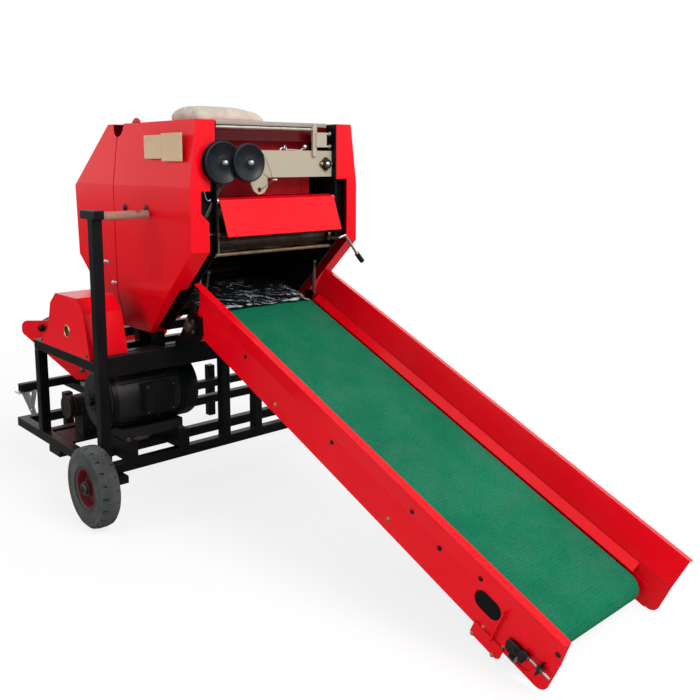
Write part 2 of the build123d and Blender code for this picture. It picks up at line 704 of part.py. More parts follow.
# Pump on the shelf behind the motor
# Its body, shaft and pulley as discs: near face, depth, radius
pump_discs = [(-556, 150, 46), (-590, 34, 16), (-588, 4, 49), (-580, 12, 42), (-564, 4, 49)]
with BuildPart() as pump:
    for y, deep, r in pump_discs:
        with BuildSketch(Plane(origin=(pump_x, y, pump_z), z_dir=(0, 1, 0))) as disc:
            Circle(r)
        extrude(disc.sketch, amount=deep)
    with Locations((pump_x, -480, (pump_z + low_z + tube) / 2 - 10)):
        Box(80, 110, pump_z - low_z - tube - 20)
keep(pump, "pump")

# Motor on its slide base over the front rails
motor_x = -400.0
motor_z = 430.0
motor_r = 120.0
motor_y0, motor_y1 = -595.0, -215.0
with BuildPart() as motor:
    with BuildSketch(Plane(origin=(motor_x, motor_y0, motor_z), z_dir=(0, 1, 0))) as body:
        Circle(motor_r)
    extrude(body.sketch, amount=motor_y1 - motor_y0)
    fillet(motor.edges().filter_by(GeomType.CIRCLE), 20)
    with Locations((motor_x, (motor_y0 + motor_y1) / 2, motor_z - motor_r - 10)):
        Box(200, 260, 40)
    with Locations((motor_x + motor_r + 5, (motor_y0 + motor_y1) / 2, motor_z + 10)):
        Box(60, 120, 110)
keep(motor, "motor")
with BuildPart() as motor_base:
    base_top = motor_z - motor_r - 30
    base_low = low_z + tube
    for y in (-520, -290):
        with Locations((motor_x + 10, y, (base_top + base_low) / 2)):
            Box(246, 50, base_top - base_low)
keep(motor_base, "motor_base")

# Wrapper: base rails behind the frame, with the swivel post and a tow plate
base_y = 180.0
base_rear_x = table_x - 170
post_tall = 46.0        # swivel post under the table
with BuildPart() as wrapper_base:
    for side in (-1, 1):
        tube_run((base_rear_x, side * base_y, low_mid), (1, 0, 0), rear_x - base_rear_x)
    for x in (base_rear_x + half_tube, table_x, table_x + 100):
        tube_run((x, -base_y + half_tube, low_mid), (0, 1, 0), 2 * base_y - tube)
    fillet(wrapper_base.edges(), tube_round)
    with Locations((table_x, 0, low_z + tube + 4)):
        Box(260, 260, 8)
    with BuildSketch(Plane.XY.offset(low_z + tube + 8)) as post:
        with Locations((table_x, 0)):
            Circle(60)
    extrude(post.sketch, amount=post_tall)
    with BuildSketch(Plane.XY.offset(low_mid - 6)) as tow_plate:
        with Locations((base_rear_x - 30, 0)):
            RectangleRounded(80, 90, 14)
        with Locations((base_rear_x - 42, 0)):
            Circle(11, mode=Mode.SUBTRACT)
    extrude(tow_plate.sketch, amount=12)
keep(wrapper_base, "wrapper_base")

with BuildPart() as rear_stand:
    with Locations((table_x, 0, 4)):
        Box(160, 160, 8)
    tube_run((table_x, 0, 8), (0, 0, 1), low_z - 8)
keep(rear_stand, "rear_stand")

cheek_turn = radians(90 + table_turn)
table_plane = Plane(origin=(table_x, 0, 0), x_dir=(cos(cheek_turn), sin(cheek_turn), 0), z_dir=(0, 0, 1))
hub_low = low_z + tube + 8 + post_tall + 0.3


def table_side(y):
    """Upright plane across the table's rollers, with x along a cheek and y up."""
    o = table_plane.from_local_coords(Vector(0, y, 0))
    return Plane(origin=o, x_dir=table_plane.x_dir, z_dir=-table_plane.y_dir)


with BuildPart() as table_frame:
    with BuildSketch(table_plane.offset(hub_low)) as disc:
        Circle(150)
    extrude(disc.sketch, amount=12)
    with BuildSketch(table_plane.offset(hub_low + 12)) as plate:
        Rectangle(2 * cheek_low_half, 2 * roller_half)
    extrude(plate.sketch, amount=14)
keep(table_frame, "table_frame")

with BuildPart() as table_cheeks:
    for side in (-1, 1):
        with BuildSketch(table_side(side * roller_half)) as cheek:
            with BuildLine():
                Polyline((-cheek_low_half, hub_low + 12), (cheek_low_half, hub_low + 12),
                         (cheek_half, cheek_top_z - 60), (cheek_half, cheek_top_z),
                         (-cheek_half, cheek_top_z), (-cheek_half, cheek_top_z - 60), close=True)
            make_face()
            fillet(cheek.vertices().filter_by(lambda v: abs(v.X) > cheek_half - 1), 29)
            for x in (-table_roller_x, table_roller_x):
                with Locations((x, cheek_top_z - cheek_round)):
                    Circle(12, mode=Mode.SUBTRACT)
        extrude(cheek.sketch, amount=-side * cheek_t)
keep(table_cheeks, "table_cheeks")

roller_z = cheek_top_z - cheek_round
with BuildPart() as table_rollers:
    for x in (-table_roller_x, table_roller_x):
        with BuildSketch(table_side(roller_half - 8)) as body:
            with Locations((x, roller_z)):
                Circle(table_roller_d / 2 - 0.3)
        extrude(body.sketch, amount=2 * roller_half - 16)
        with BuildSketch(table_side(roller_half + 14)) as shaft:
            with Locations((x, roller_z)):
                Circle(12)
        extrude(shaft.sketch, amount=2 * roller_half + 28)
keep(table_rollers, "table_rollers")

with BuildPart() as table_belt:
    with BuildSketch(table_side(table_belt_half)) as loop:
        with Locations((0, roller_z)):
            SlotCenterToCenter(2 * table_roller_x, table_roller_d + 6)
            SlotCenterToCenter(2 * table_roller_x, table_roller_d, mode=Mode.SUBTRACT)
    extrude(loop.sketch, amount=2 * table_belt_half)
keep(table_belt, "table_belt")

# Twine sack on the roof
sack_x = -371.0
sack_y = -27.0
with BuildPart() as sack:
    with BuildSketch(Plane.XY.offset(top_z + 0.3)) as foot:
        with Locations((sack_x, sack_y)):
            RectangleRounded(250, 350, 90)
    extrude(foot.sketch, amount=66)
    fillet(sack.edges().filter_by(Axis.Z, reverse=True).group_by(Axis.Z)[-1], 40)
keep(sack, "twine_sack")

overall = Compound(children=[piece.moved(Location()) for piece in pieces]).bounding_box()
middle_x = (overall.min.X + overall.max.X) / 2
print("middle_x", round(middle_x, 4), "y", overall.min.Y, overall.max.Y, "z", overall.min.Z, overall.max.Z)
for piece in pieces:
    placed = piece.moved(Location((-middle_x, 0, 0)))
    placed.label = piece.label
    export_step(placed, "parts/" + piece.label + ".step")
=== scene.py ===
"""Finishes and small fittings of a small towed round baler with a wrapping turntable."""

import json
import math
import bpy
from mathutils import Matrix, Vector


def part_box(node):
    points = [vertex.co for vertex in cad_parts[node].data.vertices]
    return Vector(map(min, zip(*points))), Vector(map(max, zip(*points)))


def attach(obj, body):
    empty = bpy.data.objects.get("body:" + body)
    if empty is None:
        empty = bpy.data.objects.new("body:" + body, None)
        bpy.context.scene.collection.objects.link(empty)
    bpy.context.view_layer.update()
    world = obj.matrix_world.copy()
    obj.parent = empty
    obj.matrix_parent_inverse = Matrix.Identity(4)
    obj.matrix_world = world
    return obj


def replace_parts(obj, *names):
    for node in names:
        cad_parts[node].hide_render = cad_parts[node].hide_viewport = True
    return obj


bl_info = {
    "name": "Round baler with wrapping turntable",
    "version": (1, 0, 0),
    "blender": (4, 5, 0),
    "location": "View3D > Sidebar > Baler",
    "description": "Paints and fits out a small towed round baler with a sloping feed belt",
    "category": "Object",
}

import bpy
from bpy.props import FloatProperty, FloatVectorProperty, IntProperty, PointerProperty
from mathutils import Matrix, Vector, noise

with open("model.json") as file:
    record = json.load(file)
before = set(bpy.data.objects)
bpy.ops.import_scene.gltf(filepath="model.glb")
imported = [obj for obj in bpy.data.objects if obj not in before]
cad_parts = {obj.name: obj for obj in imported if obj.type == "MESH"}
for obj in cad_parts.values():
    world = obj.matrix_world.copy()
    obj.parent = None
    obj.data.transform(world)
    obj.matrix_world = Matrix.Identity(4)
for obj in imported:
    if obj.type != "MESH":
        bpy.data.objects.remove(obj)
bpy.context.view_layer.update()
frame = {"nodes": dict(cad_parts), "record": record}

# Row frame X of the front of the bale chamber, in metres
CHAMBER_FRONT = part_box("cover_near")[1].x

# Feed belt: its slope, and the axis of its upper drum in millimetres from the front of the chamber
INCLINE = math.radians(23.55)
HEAD_X = -156.0
HEAD_Z = 722.0
DOWN_BELT = Vector((math.cos(INCLINE), 0, -math.sin(INCLINE)))
OFF_BELT = Vector((math.sin(INCLINE), 0, math.cos(INCLINE)))

# In the same millimetres: axle of the wheels, axes of the turntable, motor and drive shaft, and the table's turn
AXLE_X, AXLE_Z = -250.0, 153.0
TABLE_X = -1450.0
TABLE_TURN = math.radians(90 - 41.4)
MOTOR_X, MOTOR_Z = -400.0, 430.0
DRIVE_X, DRIVE_Z = -525.0, 690.0

# Line that the film follows from the chamber on to the belt's head, as x and z
FILM_LINE = [(-548, 822), (-480, 818), (-369, 836), (-300, 822), (-230, 797), (-180, 786), (-150, 777), (-118, 763)]

# The photograph's framing: where the camera stands and how far its picture is shifted
CAMERA_PLACE = (2509, -1968, 1344)
CAMERA_SHIFT = (0.0321, -0.075)


def at(x, y, z):
    """Point given in millimetres from the front of the chamber, as metres in the row frame."""
    return Vector((x / 1000 + CHAMBER_FRONT, y / 1000, z / 1000))


def on_belt(s, n, y):
    """Point s millimetres down the belt and n above its drum axes, in the row frame."""
    return at(HEAD_X, y, HEAD_Z) + (DOWN_BELT * s + OFF_BELT * n) / 1000


# Settings


class PaintSettings(bpy.types.PropertyGroup):
    """Colours of the finishes."""

    red: FloatVectorProperty(name="Red paint", description="Gloss red of the sheet metal",
                             subtype="COLOR", size=3, min=0, max=1, default=(0.76, 0.0, 0.008))
    black: FloatVectorProperty(name="Black paint", description="Semi-gloss black of the frame",
                               subtype="COLOR", size=3, min=0, max=1, default=(0.0028, 0.0034, 0.0044))
    belt: FloatVectorProperty(name="Belt", description="Green of the feed belt",
                              subtype="COLOR", size=3, min=0, max=1, default=(0.0, 0.15, 0.072))
    beige: FloatVectorProperty(name="Beige paint", description="Satin beige of the flat beam",
                               subtype="COLOR", size=3, min=0, max=1, default=(0.4, 0.35, 0.26))
    sack: FloatVectorProperty(name="Sack", description="Woven cloth of the twine sack",
                              subtype="COLOR", size=3, min=0, max=1, default=(0.66, 0.62, 0.53))


class FittingSettings(bpy.types.PropertyGroup):
    """Sizes of the small fittings."""

    bolt_r: FloatProperty(name="Bolt head", description="Half width of the bolt heads on the conveyor",
                          unit="LENGTH", default=0.0052, min=0.002)
    fins: IntProperty(name="Motor fins", description="Cooling fins round the motor", default=40, min=8, max=90)
    fin_deep: FloatProperty(name="Fin height", description="How far a cooling fin stands out of the motor",
                            unit="LENGTH", default=0.008, min=0.001)
    sack_swell: FloatProperty(name="Sack swell", description="How far the sack's cloth may swell out",
                              unit="LENGTH", default=0.012, min=0)


class StageSettings(bpy.types.PropertyGroup):
    """Floor, lights and camera."""

    camera_azimuth: FloatProperty(name="Camera azimuth", description="Direction that the camera looks in",
                                  unit="ROTATION", default=math.radians(48.62))
    camera_pitch: FloatProperty(name="Camera pitch", description="How far the camera looks down",
                                unit="ROTATION", default=math.radians(9.39))
    lens: FloatProperty(name="Lens", description="Focal length in millimetres", default=42.62, min=1)
    key_power: FloatProperty(name="Key light", description="Power of the large soft key light",
                             unit="POWER", default=270, min=0)
    fill_power: FloatProperty(name="Fill light", description="Power of the large soft fill light",
                              unit="POWER", default=72, min=0)


# Node groups


def new_group(name, inputs, outputs):
    """Empty shader node group with named sockets, given as (name, socket type, default)."""
    group = bpy.data.node_groups.new(name, "ShaderNodeTree")
    for label, kind, default in inputs:
        socket = group.interface.new_socket(label, in_out="INPUT", socket_type=kind)
        if default is not None:
            socket.default_value = default
    for label, kind in outputs:
        group.interface.new_socket(label, in_out="OUTPUT", socket_type=kind)
    return group, group.nodes.new("NodeGroupInput"), group.nodes.new("NodeGroupOutput")


def node(tree, kind, **values):
    """New node, with its settings by name and its inputs by socket name."""
    made = tree.nodes.new(kind)
    for key, value in values.items():
        if key in made.inputs:
            made.inputs[key].default_value = value
        else:
            setattr(made, key, value)
    return made


def texture(tree, kind, scale=None, **values):
    """Node that reads Object coordinates in its Vector, with its scale from a socket where one is given."""
    made = node(tree, kind, **values)
    tree.links.new(node(tree, "ShaderNodeTexCoord").outputs["Object"], made.inputs["Vector"])
    if scale:
        tree.links.new(scale, made.inputs["Scale"])
    return made


def maths(tree, operation, a, b=None, c=None, clamp=False):
    """Math node whose inputs are sockets or numbers, as its output socket."""
    made = tree.nodes.new("ShaderNodeMath")
    made.operation = operation
    made.use_clamp = clamp
    for socket, value in zip(made.inputs, (a, b, c)):
        if isinstance(value, bpy.types.NodeSocket):
            tree.links.new(value, socket)
        elif value is not None:
            socket.default_value = value
    return made.outputs[0]


def spread(tree, value, low, high, to_low=0.0, to_high=1.0):
    """Value moved from one range to another and held inside it, as a socket."""
    made = tree.nodes.new("ShaderNodeMapRange")
    made.inputs["From Min"].default_value = low
    made.inputs["From Max"].default_value = high
    made.inputs["To Min"].default_value = to_low
    made.inputs["To Max"].default_value = to_high
    tree.links.new(value, made.inputs["Value"])
    return made.outputs["Result"]


def dust_group():
    """Dust that lies on surfaces that face up and in broad patches, as a mask."""
    group, start, end = new_group("Dust", [("Amount", "NodeSocketFloat", 0.3), ("Scale", "NodeSocketFloat", 6.0)],
                                  [("Mask", "NodeSocketFloat")])
    links = group.links
    facing = node(group, "ShaderNodeNewGeometry")
    up = node(group, "ShaderNodeSeparateXYZ")
    links.new(facing.outputs["Normal"], up.inputs[0])
    patches = texture(group, "ShaderNodeTexNoise", start.outputs["Scale"], Detail=6.0, Roughness=0.62)
    level = maths(group, "MULTIPLY_ADD", up.outputs[2], 0.4, 0.6)
    both = maths(group, "MULTIPLY", spread(group, patches.outputs["Fac"], 0.42, 0.75), level)
    links.new(maths(group, "MULTIPLY", both, start.outputs["Amount"], clamp=True), end.inputs["Mask"])
    return group


def grain_group():
    """Fine irregular height for castings, rubber and thick paint."""
    group, start, end = new_group("Grain", [("Scale", "NodeSocketFloat", 300.0)], [("Height", "NodeSocketFloat")])
    fine = texture(group, "ShaderNodeTexNoise", start.outputs["Scale"], Detail=4.0, Roughness=0.6)
    group.links.new(fine.outputs["Fac"], end.inputs["Height"])
    return group


def wear_group():
    """Edges where the finish is rubbed away, as a mask."""
    group, start, end = new_group("Edge wear", [("Width", "NodeSocketFloat", 0.002),
                                                ("Amount", "NodeSocketFloat", 0.5),
                                                ("Scale", "NodeSocketFloat", 40.0)], [("Mask", "NodeSocketFloat")])
    links = group.links
    facing = node(group, "ShaderNodeNewGeometry")
    rounded = node(group, "ShaderNodeBevel", samples=4)
    links.new(start.outputs["Width"], rounded.inputs["Radius"])
    alike = node(group, "ShaderNodeVectorMath", operation="DOT_PRODUCT")
    links.new(rounded.outputs["Normal"], alike.inputs[0])
    links.new(facing.outputs["Normal"], alike.inputs[1])
    edge = spread(group, alike.outputs["Value"], 0.97, 0.86)
    broken = texture(group, "ShaderNodeTexNoise", start.outputs["Scale"], Detail=5.0, Roughness=0.7)
    both = maths(group, "MULTIPLY", edge, spread(group, broken.outputs["Fac"], 0.48, 0.62))
    links.new(maths(group, "MULTIPLY", both, start.outputs["Amount"], clamp=True), end.inputs["Mask"])
    return group


def pimple_group():
    """Small raised cells in uneven rows, as a height and a mask of the gaps between them."""
    group, start, end = new_group("Pimples", [("Scale", "NodeSocketFloat", 240.0)],
                                  [("Height", "NodeSocketFloat"), ("Gaps", "NodeSocketFloat")])
    links = group.links
    cells = texture(group, "ShaderNodeTexVoronoi", start.outputs["Scale"], Randomness=0.55)
    links.new(spread(group, cells.outputs["Distance"], 0.15, 0.6, 1.0, 0.0), end.inputs["Height"])
    links.new(spread(group, cells.outputs["Distance"], 0.4, 0.75), end.inputs["Gaps"])
    return group


def weave_group():
    """Plain weave of flat strips, as a height and a mask of the gaps between the strips."""
    group, start, end = new_group("Weave", [("Pitch", "NodeSocketFloat", 900.0)],
                                  [("Height", "NodeSocketFloat"), ("Gaps", "NodeSocketFloat")])
    links = group.links
    drift = texture(group, "ShaderNodeTexNoise", Scale=14.0, Detail=2.0)
    parts = texture(group, "ShaderNodeSeparateXYZ")
    slack = maths(group, "MULTIPLY", drift.outputs["Fac"], 0.012)
    across = maths(group, "MULTIPLY", maths(group, "ADD", parts.outputs[0], slack), start.outputs["Pitch"])
    along = maths(group, "MULTIPLY", maths(group, "ADD", parts.outputs[1], slack), start.outputs["Pitch"])
    warp = maths(group, "ABSOLUTE", maths(group, "SINE", across))
    weft = maths(group, "ABSOLUTE", maths(group, "SINE", along))
    links.new(maths(group, "MULTIPLY", warp, weft), end.inputs["Height"])
    links.new(spread(group, maths(group, "MINIMUM", warp, weft), 0.3, 0.05), end.inputs["Gaps"])
    return group


def timber_group():
    """Grain lines that run along Y with dark knots, as a mask of the dark wood and a height."""
    group, start, end = new_group("Timber", [("Scale", "NodeSocketFloat", 1.0)],
                                  [("Dark", "NodeSocketFloat"), ("Height", "NodeSocketFloat")])
    links = group.links
    drawn = texture(group, "ShaderNodeMapping", Scale=(150, 9, 150))
    lines = node(group, "ShaderNodeTexNoise", Detail=5.0, Roughness=0.6, Distortion=0.6)
    links.new(drawn.outputs[0], lines.inputs["Vector"])
    links.new(start.outputs["Scale"], lines.inputs["Scale"])
    knots = texture(group, "ShaderNodeTexVoronoi", Scale=16.0, Randomness=1.0)
    knot = spread(group, knots.outputs["Distance"], 0.28, 0.1)
    line = spread(group, lines.outputs["Fac"], 0.42, 0.68)
    links.new(maths(group, "MAXIMUM", knot, maths(group, "MULTIPLY", line, 0.6)), end.inputs["Dark"])
    links.new(lines.outputs["Fac"], end.inputs["Height"])
    return group


def brushed_group():
    """Long scratches in one direction and blotches of tarnish, as two masks."""
    group, start, end = new_group("Brushed", [("Scale", "NodeSocketFloat", 60.0)],
                                  [("Scratches", "NodeSocketFloat"), ("Tarnish", "NodeSocketFloat")])
    links = group.links
    drawn = texture(group, "ShaderNodeMapping", Scale=(1.0, 0.06, 1.0))
    lines = node(group, "ShaderNodeTexNoise", Detail=6.0, Roughness=0.7)
    links.new(drawn.outputs[0], lines.inputs["Vector"])
    links.new(start.outputs["Scale"], lines.inputs["Scale"])
    blots = texture(group, "ShaderNodeTexNoise", Scale=26.0, Detail=5.0, Roughness=0.65)
    links.new(lines.outputs["Fac"], end.inputs["Scratches"])
    links.new(spread(group, blots.outputs["Fac"], 0.45, 0.72), end.inputs["Tarnish"])
    return group


GROUPS = {}


def use_group(tree, name, **values):
    """Group node of that name in a material, with its inputs set."""
    makers = {"Dust": dust_group, "Grain": grain_group, "Edge wear": wear_group, "Pimples": pimple_group,
              "Weave": weave_group, "Timber": timber_group, "Brushed": brushed_group}
    if name not in GROUPS:
        GROUPS[name] = makers[name]()
    made = tree.nodes.new("ShaderNodeGroup")
    made.node_tree = GROUPS[name]
    for key, value in values.items():
        made.inputs[key].default_value = value
    return made


# Materials


def mix_colour(tree, factor, a, b):
    """Mix of two colours, each a socket or a triple, as a socket."""
    made = tree.nodes.new("ShaderNodeMix")
    made.data_type = "RGBA"
    tree.links.new(factor, made.inputs["Factor"])
    for socket, value in ((made.inputs[6], a), (made.inputs[7], b)):
        if isinstance(value, bpy.types.NodeSocket):
            tree.links.new(value, socket)
        else:
            socket.default_value = (*value, 1)
    return made.outputs[2]


def new_material(name):
    """Empty material with its node tree and its shader."""
    made = bpy.data.materials.new(name)
    made.use_nodes = True
    return made, made.node_tree, made.node_tree.nodes["Principled BSDF"]


def relief(tree, shader, height, deep, strength=1.0, soften=0.002):
    """Gives a shader its small relief over edges that are softened a little."""
    rounded = node(tree, "ShaderNodeBevel", samples=4, Radius=soften)
    bump = node(tree, "ShaderNodeBump", Strength=strength, Distance=deep)
    tree.links.new(height, bump.inputs["Height"])
    tree.links.new(rounded.outputs["Normal"], bump.inputs["Normal"])
    tree.links.new(bump.outputs["Normal"], shader.inputs["Normal"])


def painted(name, colour, roughness, dust=0.2, wear=0.35, under=(0.05, 0.045, 0.04), grain=0.0, fade=0.12,
            coat=0.0, dust_colour=(0.33, 0.28, 0.22), specular=0.5, inside=None, inner=(0.012, 0.01, 0.01)):
    """Paint with soft fading, worn edges and dust, over what is under it, and darker where it faces a point."""
    made, tree, shader = new_material(name)
    links = tree.links
    clouds = texture(tree, "ShaderNodeTexNoise", Scale=2.2, Detail=3.0, Roughness=0.5)
    dark = tuple(c * (1 - fade) for c in colour)
    base = mix_colour(tree, spread(tree, clouds.outputs["Fac"], 0.3, 0.7), dark, colour)
    worn = use_group(tree, "Edge wear", Amount=wear)
    base = mix_colour(tree, worn.outputs["Mask"], base, under)
    dusty = use_group(tree, "Dust", Amount=dust)
    base = mix_colour(tree, dusty.outputs["Mask"], base, dust_colour)
    # Faces that look toward the point inside take the colour inner: black on the door's inside, and painted shade on
    # the roof's front
    if inside:
        where = node(tree, "ShaderNodeTexCoord")
        inward = node(tree, "ShaderNodeVectorMath", operation="SUBTRACT")
        inward.inputs[0].default_value = inside
        links.new(where.outputs["Object"], inward.inputs[1])
        facing = node(tree, "ShaderNodeVectorMath", operation="DOT_PRODUCT")
        links.new(inward.outputs[0], facing.inputs[0])
        links.new(where.outputs["Normal"], facing.inputs[1])
        base = mix_colour(tree, maths(tree, "GREATER_THAN", facing.outputs["Value"], 0.0), base, inner)
    links.new(base, shader.inputs["Base Color"])
    rough = maths(tree, "MULTIPLY_ADD", dusty.outputs["Mask"], 0.5, roughness)
    rough = maths(tree, "MULTIPLY_ADD", worn.outputs["Mask"], 0.25, rough, clamp=True)
    links.new(rough, shader.inputs["Roughness"])
    shader.inputs["Coat Weight"].default_value = coat
    shader.inputs["Coat Roughness"].default_value = 0.08
    shader.inputs["Specular IOR Level"].default_value = specular
    if grain:
        fine = use_group(tree, "Grain")
        relief(tree, shader, fine.outputs["Height"], grain, 0.6)
    else:
        ripple = texture(tree, "ShaderNodeTexNoise", Scale=7.0, Detail=2.0)
        relief(tree, shader, ripple.outputs["Fac"], 0.0012, 0.4)
    return made


def belt_rubber(name, colour):
    """Green belt with a rough top of small raised cells."""
    made, tree, shader = new_material(name)
    links = tree.links
    cells = use_group(tree, "Pimples", Scale=210.0)
    clouds = texture(tree, "ShaderNodeTexNoise", Scale=3.0, Detail=6.0, Roughness=0.6)
    pale = tuple(min(1.0, c * 1.25 + 0.006) for c in colour)
    base = mix_colour(tree, spread(tree, clouds.outputs["Fac"], 0.35, 0.7), colour, pale)
    # The gaps between the raised cells are darkened: painted shade between the cells
    base = mix_colour(tree, maths(tree, "MULTIPLY", cells.outputs["Gaps"], 0.55), base,
                      tuple(c * 0.45 for c in colour))
    dusty = use_group(tree, "Dust", Amount=0.07, Scale=9.0)
    base = mix_colour(tree, dusty.outputs["Mask"], base, (0.25, 0.3, 0.24))
    links.new(base, shader.inputs["Base Color"])
    links.new(spread(tree, cells.outputs["Height"], 0.0, 1.0, 0.8, 0.55), shader.inputs["Roughness"])
    shader.inputs["Specular IOR Level"].default_value = 0.12
    relief(tree, shader, cells.outputs["Height"], 0.0009, 0.8, 0.001)
    return made


def sack_cloth(name, colour):
    """Woven sack of flat strips, darker in patches at random, with painted shade in the gaps between the strips."""
    made, tree, shader = new_material(name)
    links = tree.links
    cloth = use_group(tree, "Weave", Pitch=1250.0)
    clouds = texture(tree, "ShaderNodeTexNoise", Scale=12.0, Detail=5.0, Roughness=0.6)
    base = mix_colour(tree, spread(tree, clouds.outputs["Fac"], 0.35, 0.7), tuple(c * 0.72 for c in colour), colour)
    # The gaps between the strips are darkened: painted shade in the weave
    base = mix_colour(tree, maths(tree, "MULTIPLY", cloth.outputs["Gaps"], 0.45), base,
                      tuple(c * 0.4 for c in colour))
    links.new(base, shader.inputs["Base Color"])
    links.new(spread(tree, clouds.outputs["Fac"], 0.3, 0.7, 0.95, 0.75), shader.inputs["Roughness"])
    shader.inputs["Specular IOR Level"].default_value = 0.2
    relief(tree, shader, cloth.outputs["Height"], 0.0008, 0.7, 0.0005)
    return made


def bare_timber(name, colour, dark):
    """Worn round timber with grain, knots and greyed patches."""
    made, tree, shader = new_material(name)
    links = tree.links
    timber = use_group(tree, "Timber")
    base = mix_colour(tree, timber.outputs["Dark"], colour, dark)
    dusty = use_group(tree, "Dust", Amount=0.35, Scale=20.0)
    base = mix_colour(tree, dusty.outputs["Mask"], base, (0.3, 0.27, 0.23))
    links.new(base, shader.inputs["Base Color"])
    links.new(spread(tree, timber.outputs["Height"], 0.3, 0.7, 0.8, 0.5), shader.inputs["Roughness"])
    relief(tree, shader, timber.outputs["Height"], 0.0012, 0.6, 0.001)
    return made


def metal(name, colour, tarnish, roughness=0.3, metallic=0.95):
    """Bare or plated metal with fine scratches and blotches of tarnish."""
    made, tree, shader = new_material(name)
    links = tree.links
    marks = use_group(tree, "Brushed")
    worn = use_group(tree, "Edge wear", Amount=0.5, Width=0.001)
    base = mix_colour(tree, maths(tree, "MULTIPLY", marks.outputs["Tarnish"], 0.7), colour, tarnish)
    base = mix_colour(tree, worn.outputs["Mask"], base, tuple(min(1.0, c * 1.3) for c in colour))
    links.new(base, shader.inputs["Base Color"])
    rough = maths(tree, "MULTIPLY_ADD", marks.outputs["Scratches"], 0.25, roughness - 0.1)
    rough = maths(tree, "MULTIPLY_ADD", marks.outputs["Tarnish"], 0.2, rough, clamp=True)
    links.new(rough, shader.inputs["Roughness"])
    shader.inputs["Metallic"].default_value = metallic
    relief(tree, shader, marks.outputs["Scratches"], 0.0003, 0.5, 0.001)
    return made


def crumpled_film(name, colour):
    """Dark glossy film with painted glints along its creases in patches and along its front rim."""
    made, tree, shader = new_material(name)
    links = tree.links
    folds = texture(tree, "ShaderNodeTexNoise", Scale=45.0, Detail=4.0, Roughness=0.6, Distortion=1.2)
    drawn = texture(tree, "ShaderNodeMapping", vector_type="TEXTURE", Scale=(6.0, 1.0, 1.0), Rotation=(0, 0, 1.05))
    creases = node(tree, "ShaderNodeTexNoise", Scale=34.0, Detail=2.5, Roughness=0.5, Distortion=0.5)
    links.new(drawn.outputs[0], creases.inputs["Vector"])
    off = maths(tree, "ABSOLUTE", maths(tree, "SUBTRACT", creases.outputs["Fac"], 0.5))
    patch = texture(tree, "ShaderNodeTexNoise", Scale=9.0, Detail=2.0)
    apart = texture(tree, "ShaderNodeSeparateXYZ")
    front = spread(tree, apart.outputs["X"], -0.06, 0.02)
    # Painted glints: pale streaks on the creases, in patches and all along the front, fading out towards the back
    lit = maths(tree, "MAXIMUM", spread(tree, patch.outputs["Fac"], 0.46, 0.56), front)
    lit = maths(tree, "MULTIPLY", lit, spread(tree, apart.outputs["X"], -0.25, -0.1))
    painted_glint = maths(tree, "MULTIPLY", spread(tree, off, 0.022, 0.006), lit)
    # A pale rim at the front edge: a painted glint too
    rim = maths(tree, "MULTIPLY", spread(tree, apart.outputs["X"], 0.064, 0.07), spread(tree, off, 0.1, 0.05))
    painted_glint = maths(tree, "MAXIMUM", painted_glint, rim)
    # The pale grey is the colour of the painted glints
    base = mix_colour(tree, painted_glint, colour, (0.5, 0.54, 0.56))
    links.new(base, shader.inputs["Base Color"])
    links.new(spread(tree, patch.outputs["Fac"], 0.3, 0.7, 0.1, 0.3), shader.inputs["Roughness"])
    relief(tree, shader, folds.outputs["Fac"], 0.006, 0.7, 0.0005)
    return made


FINISHES = {}


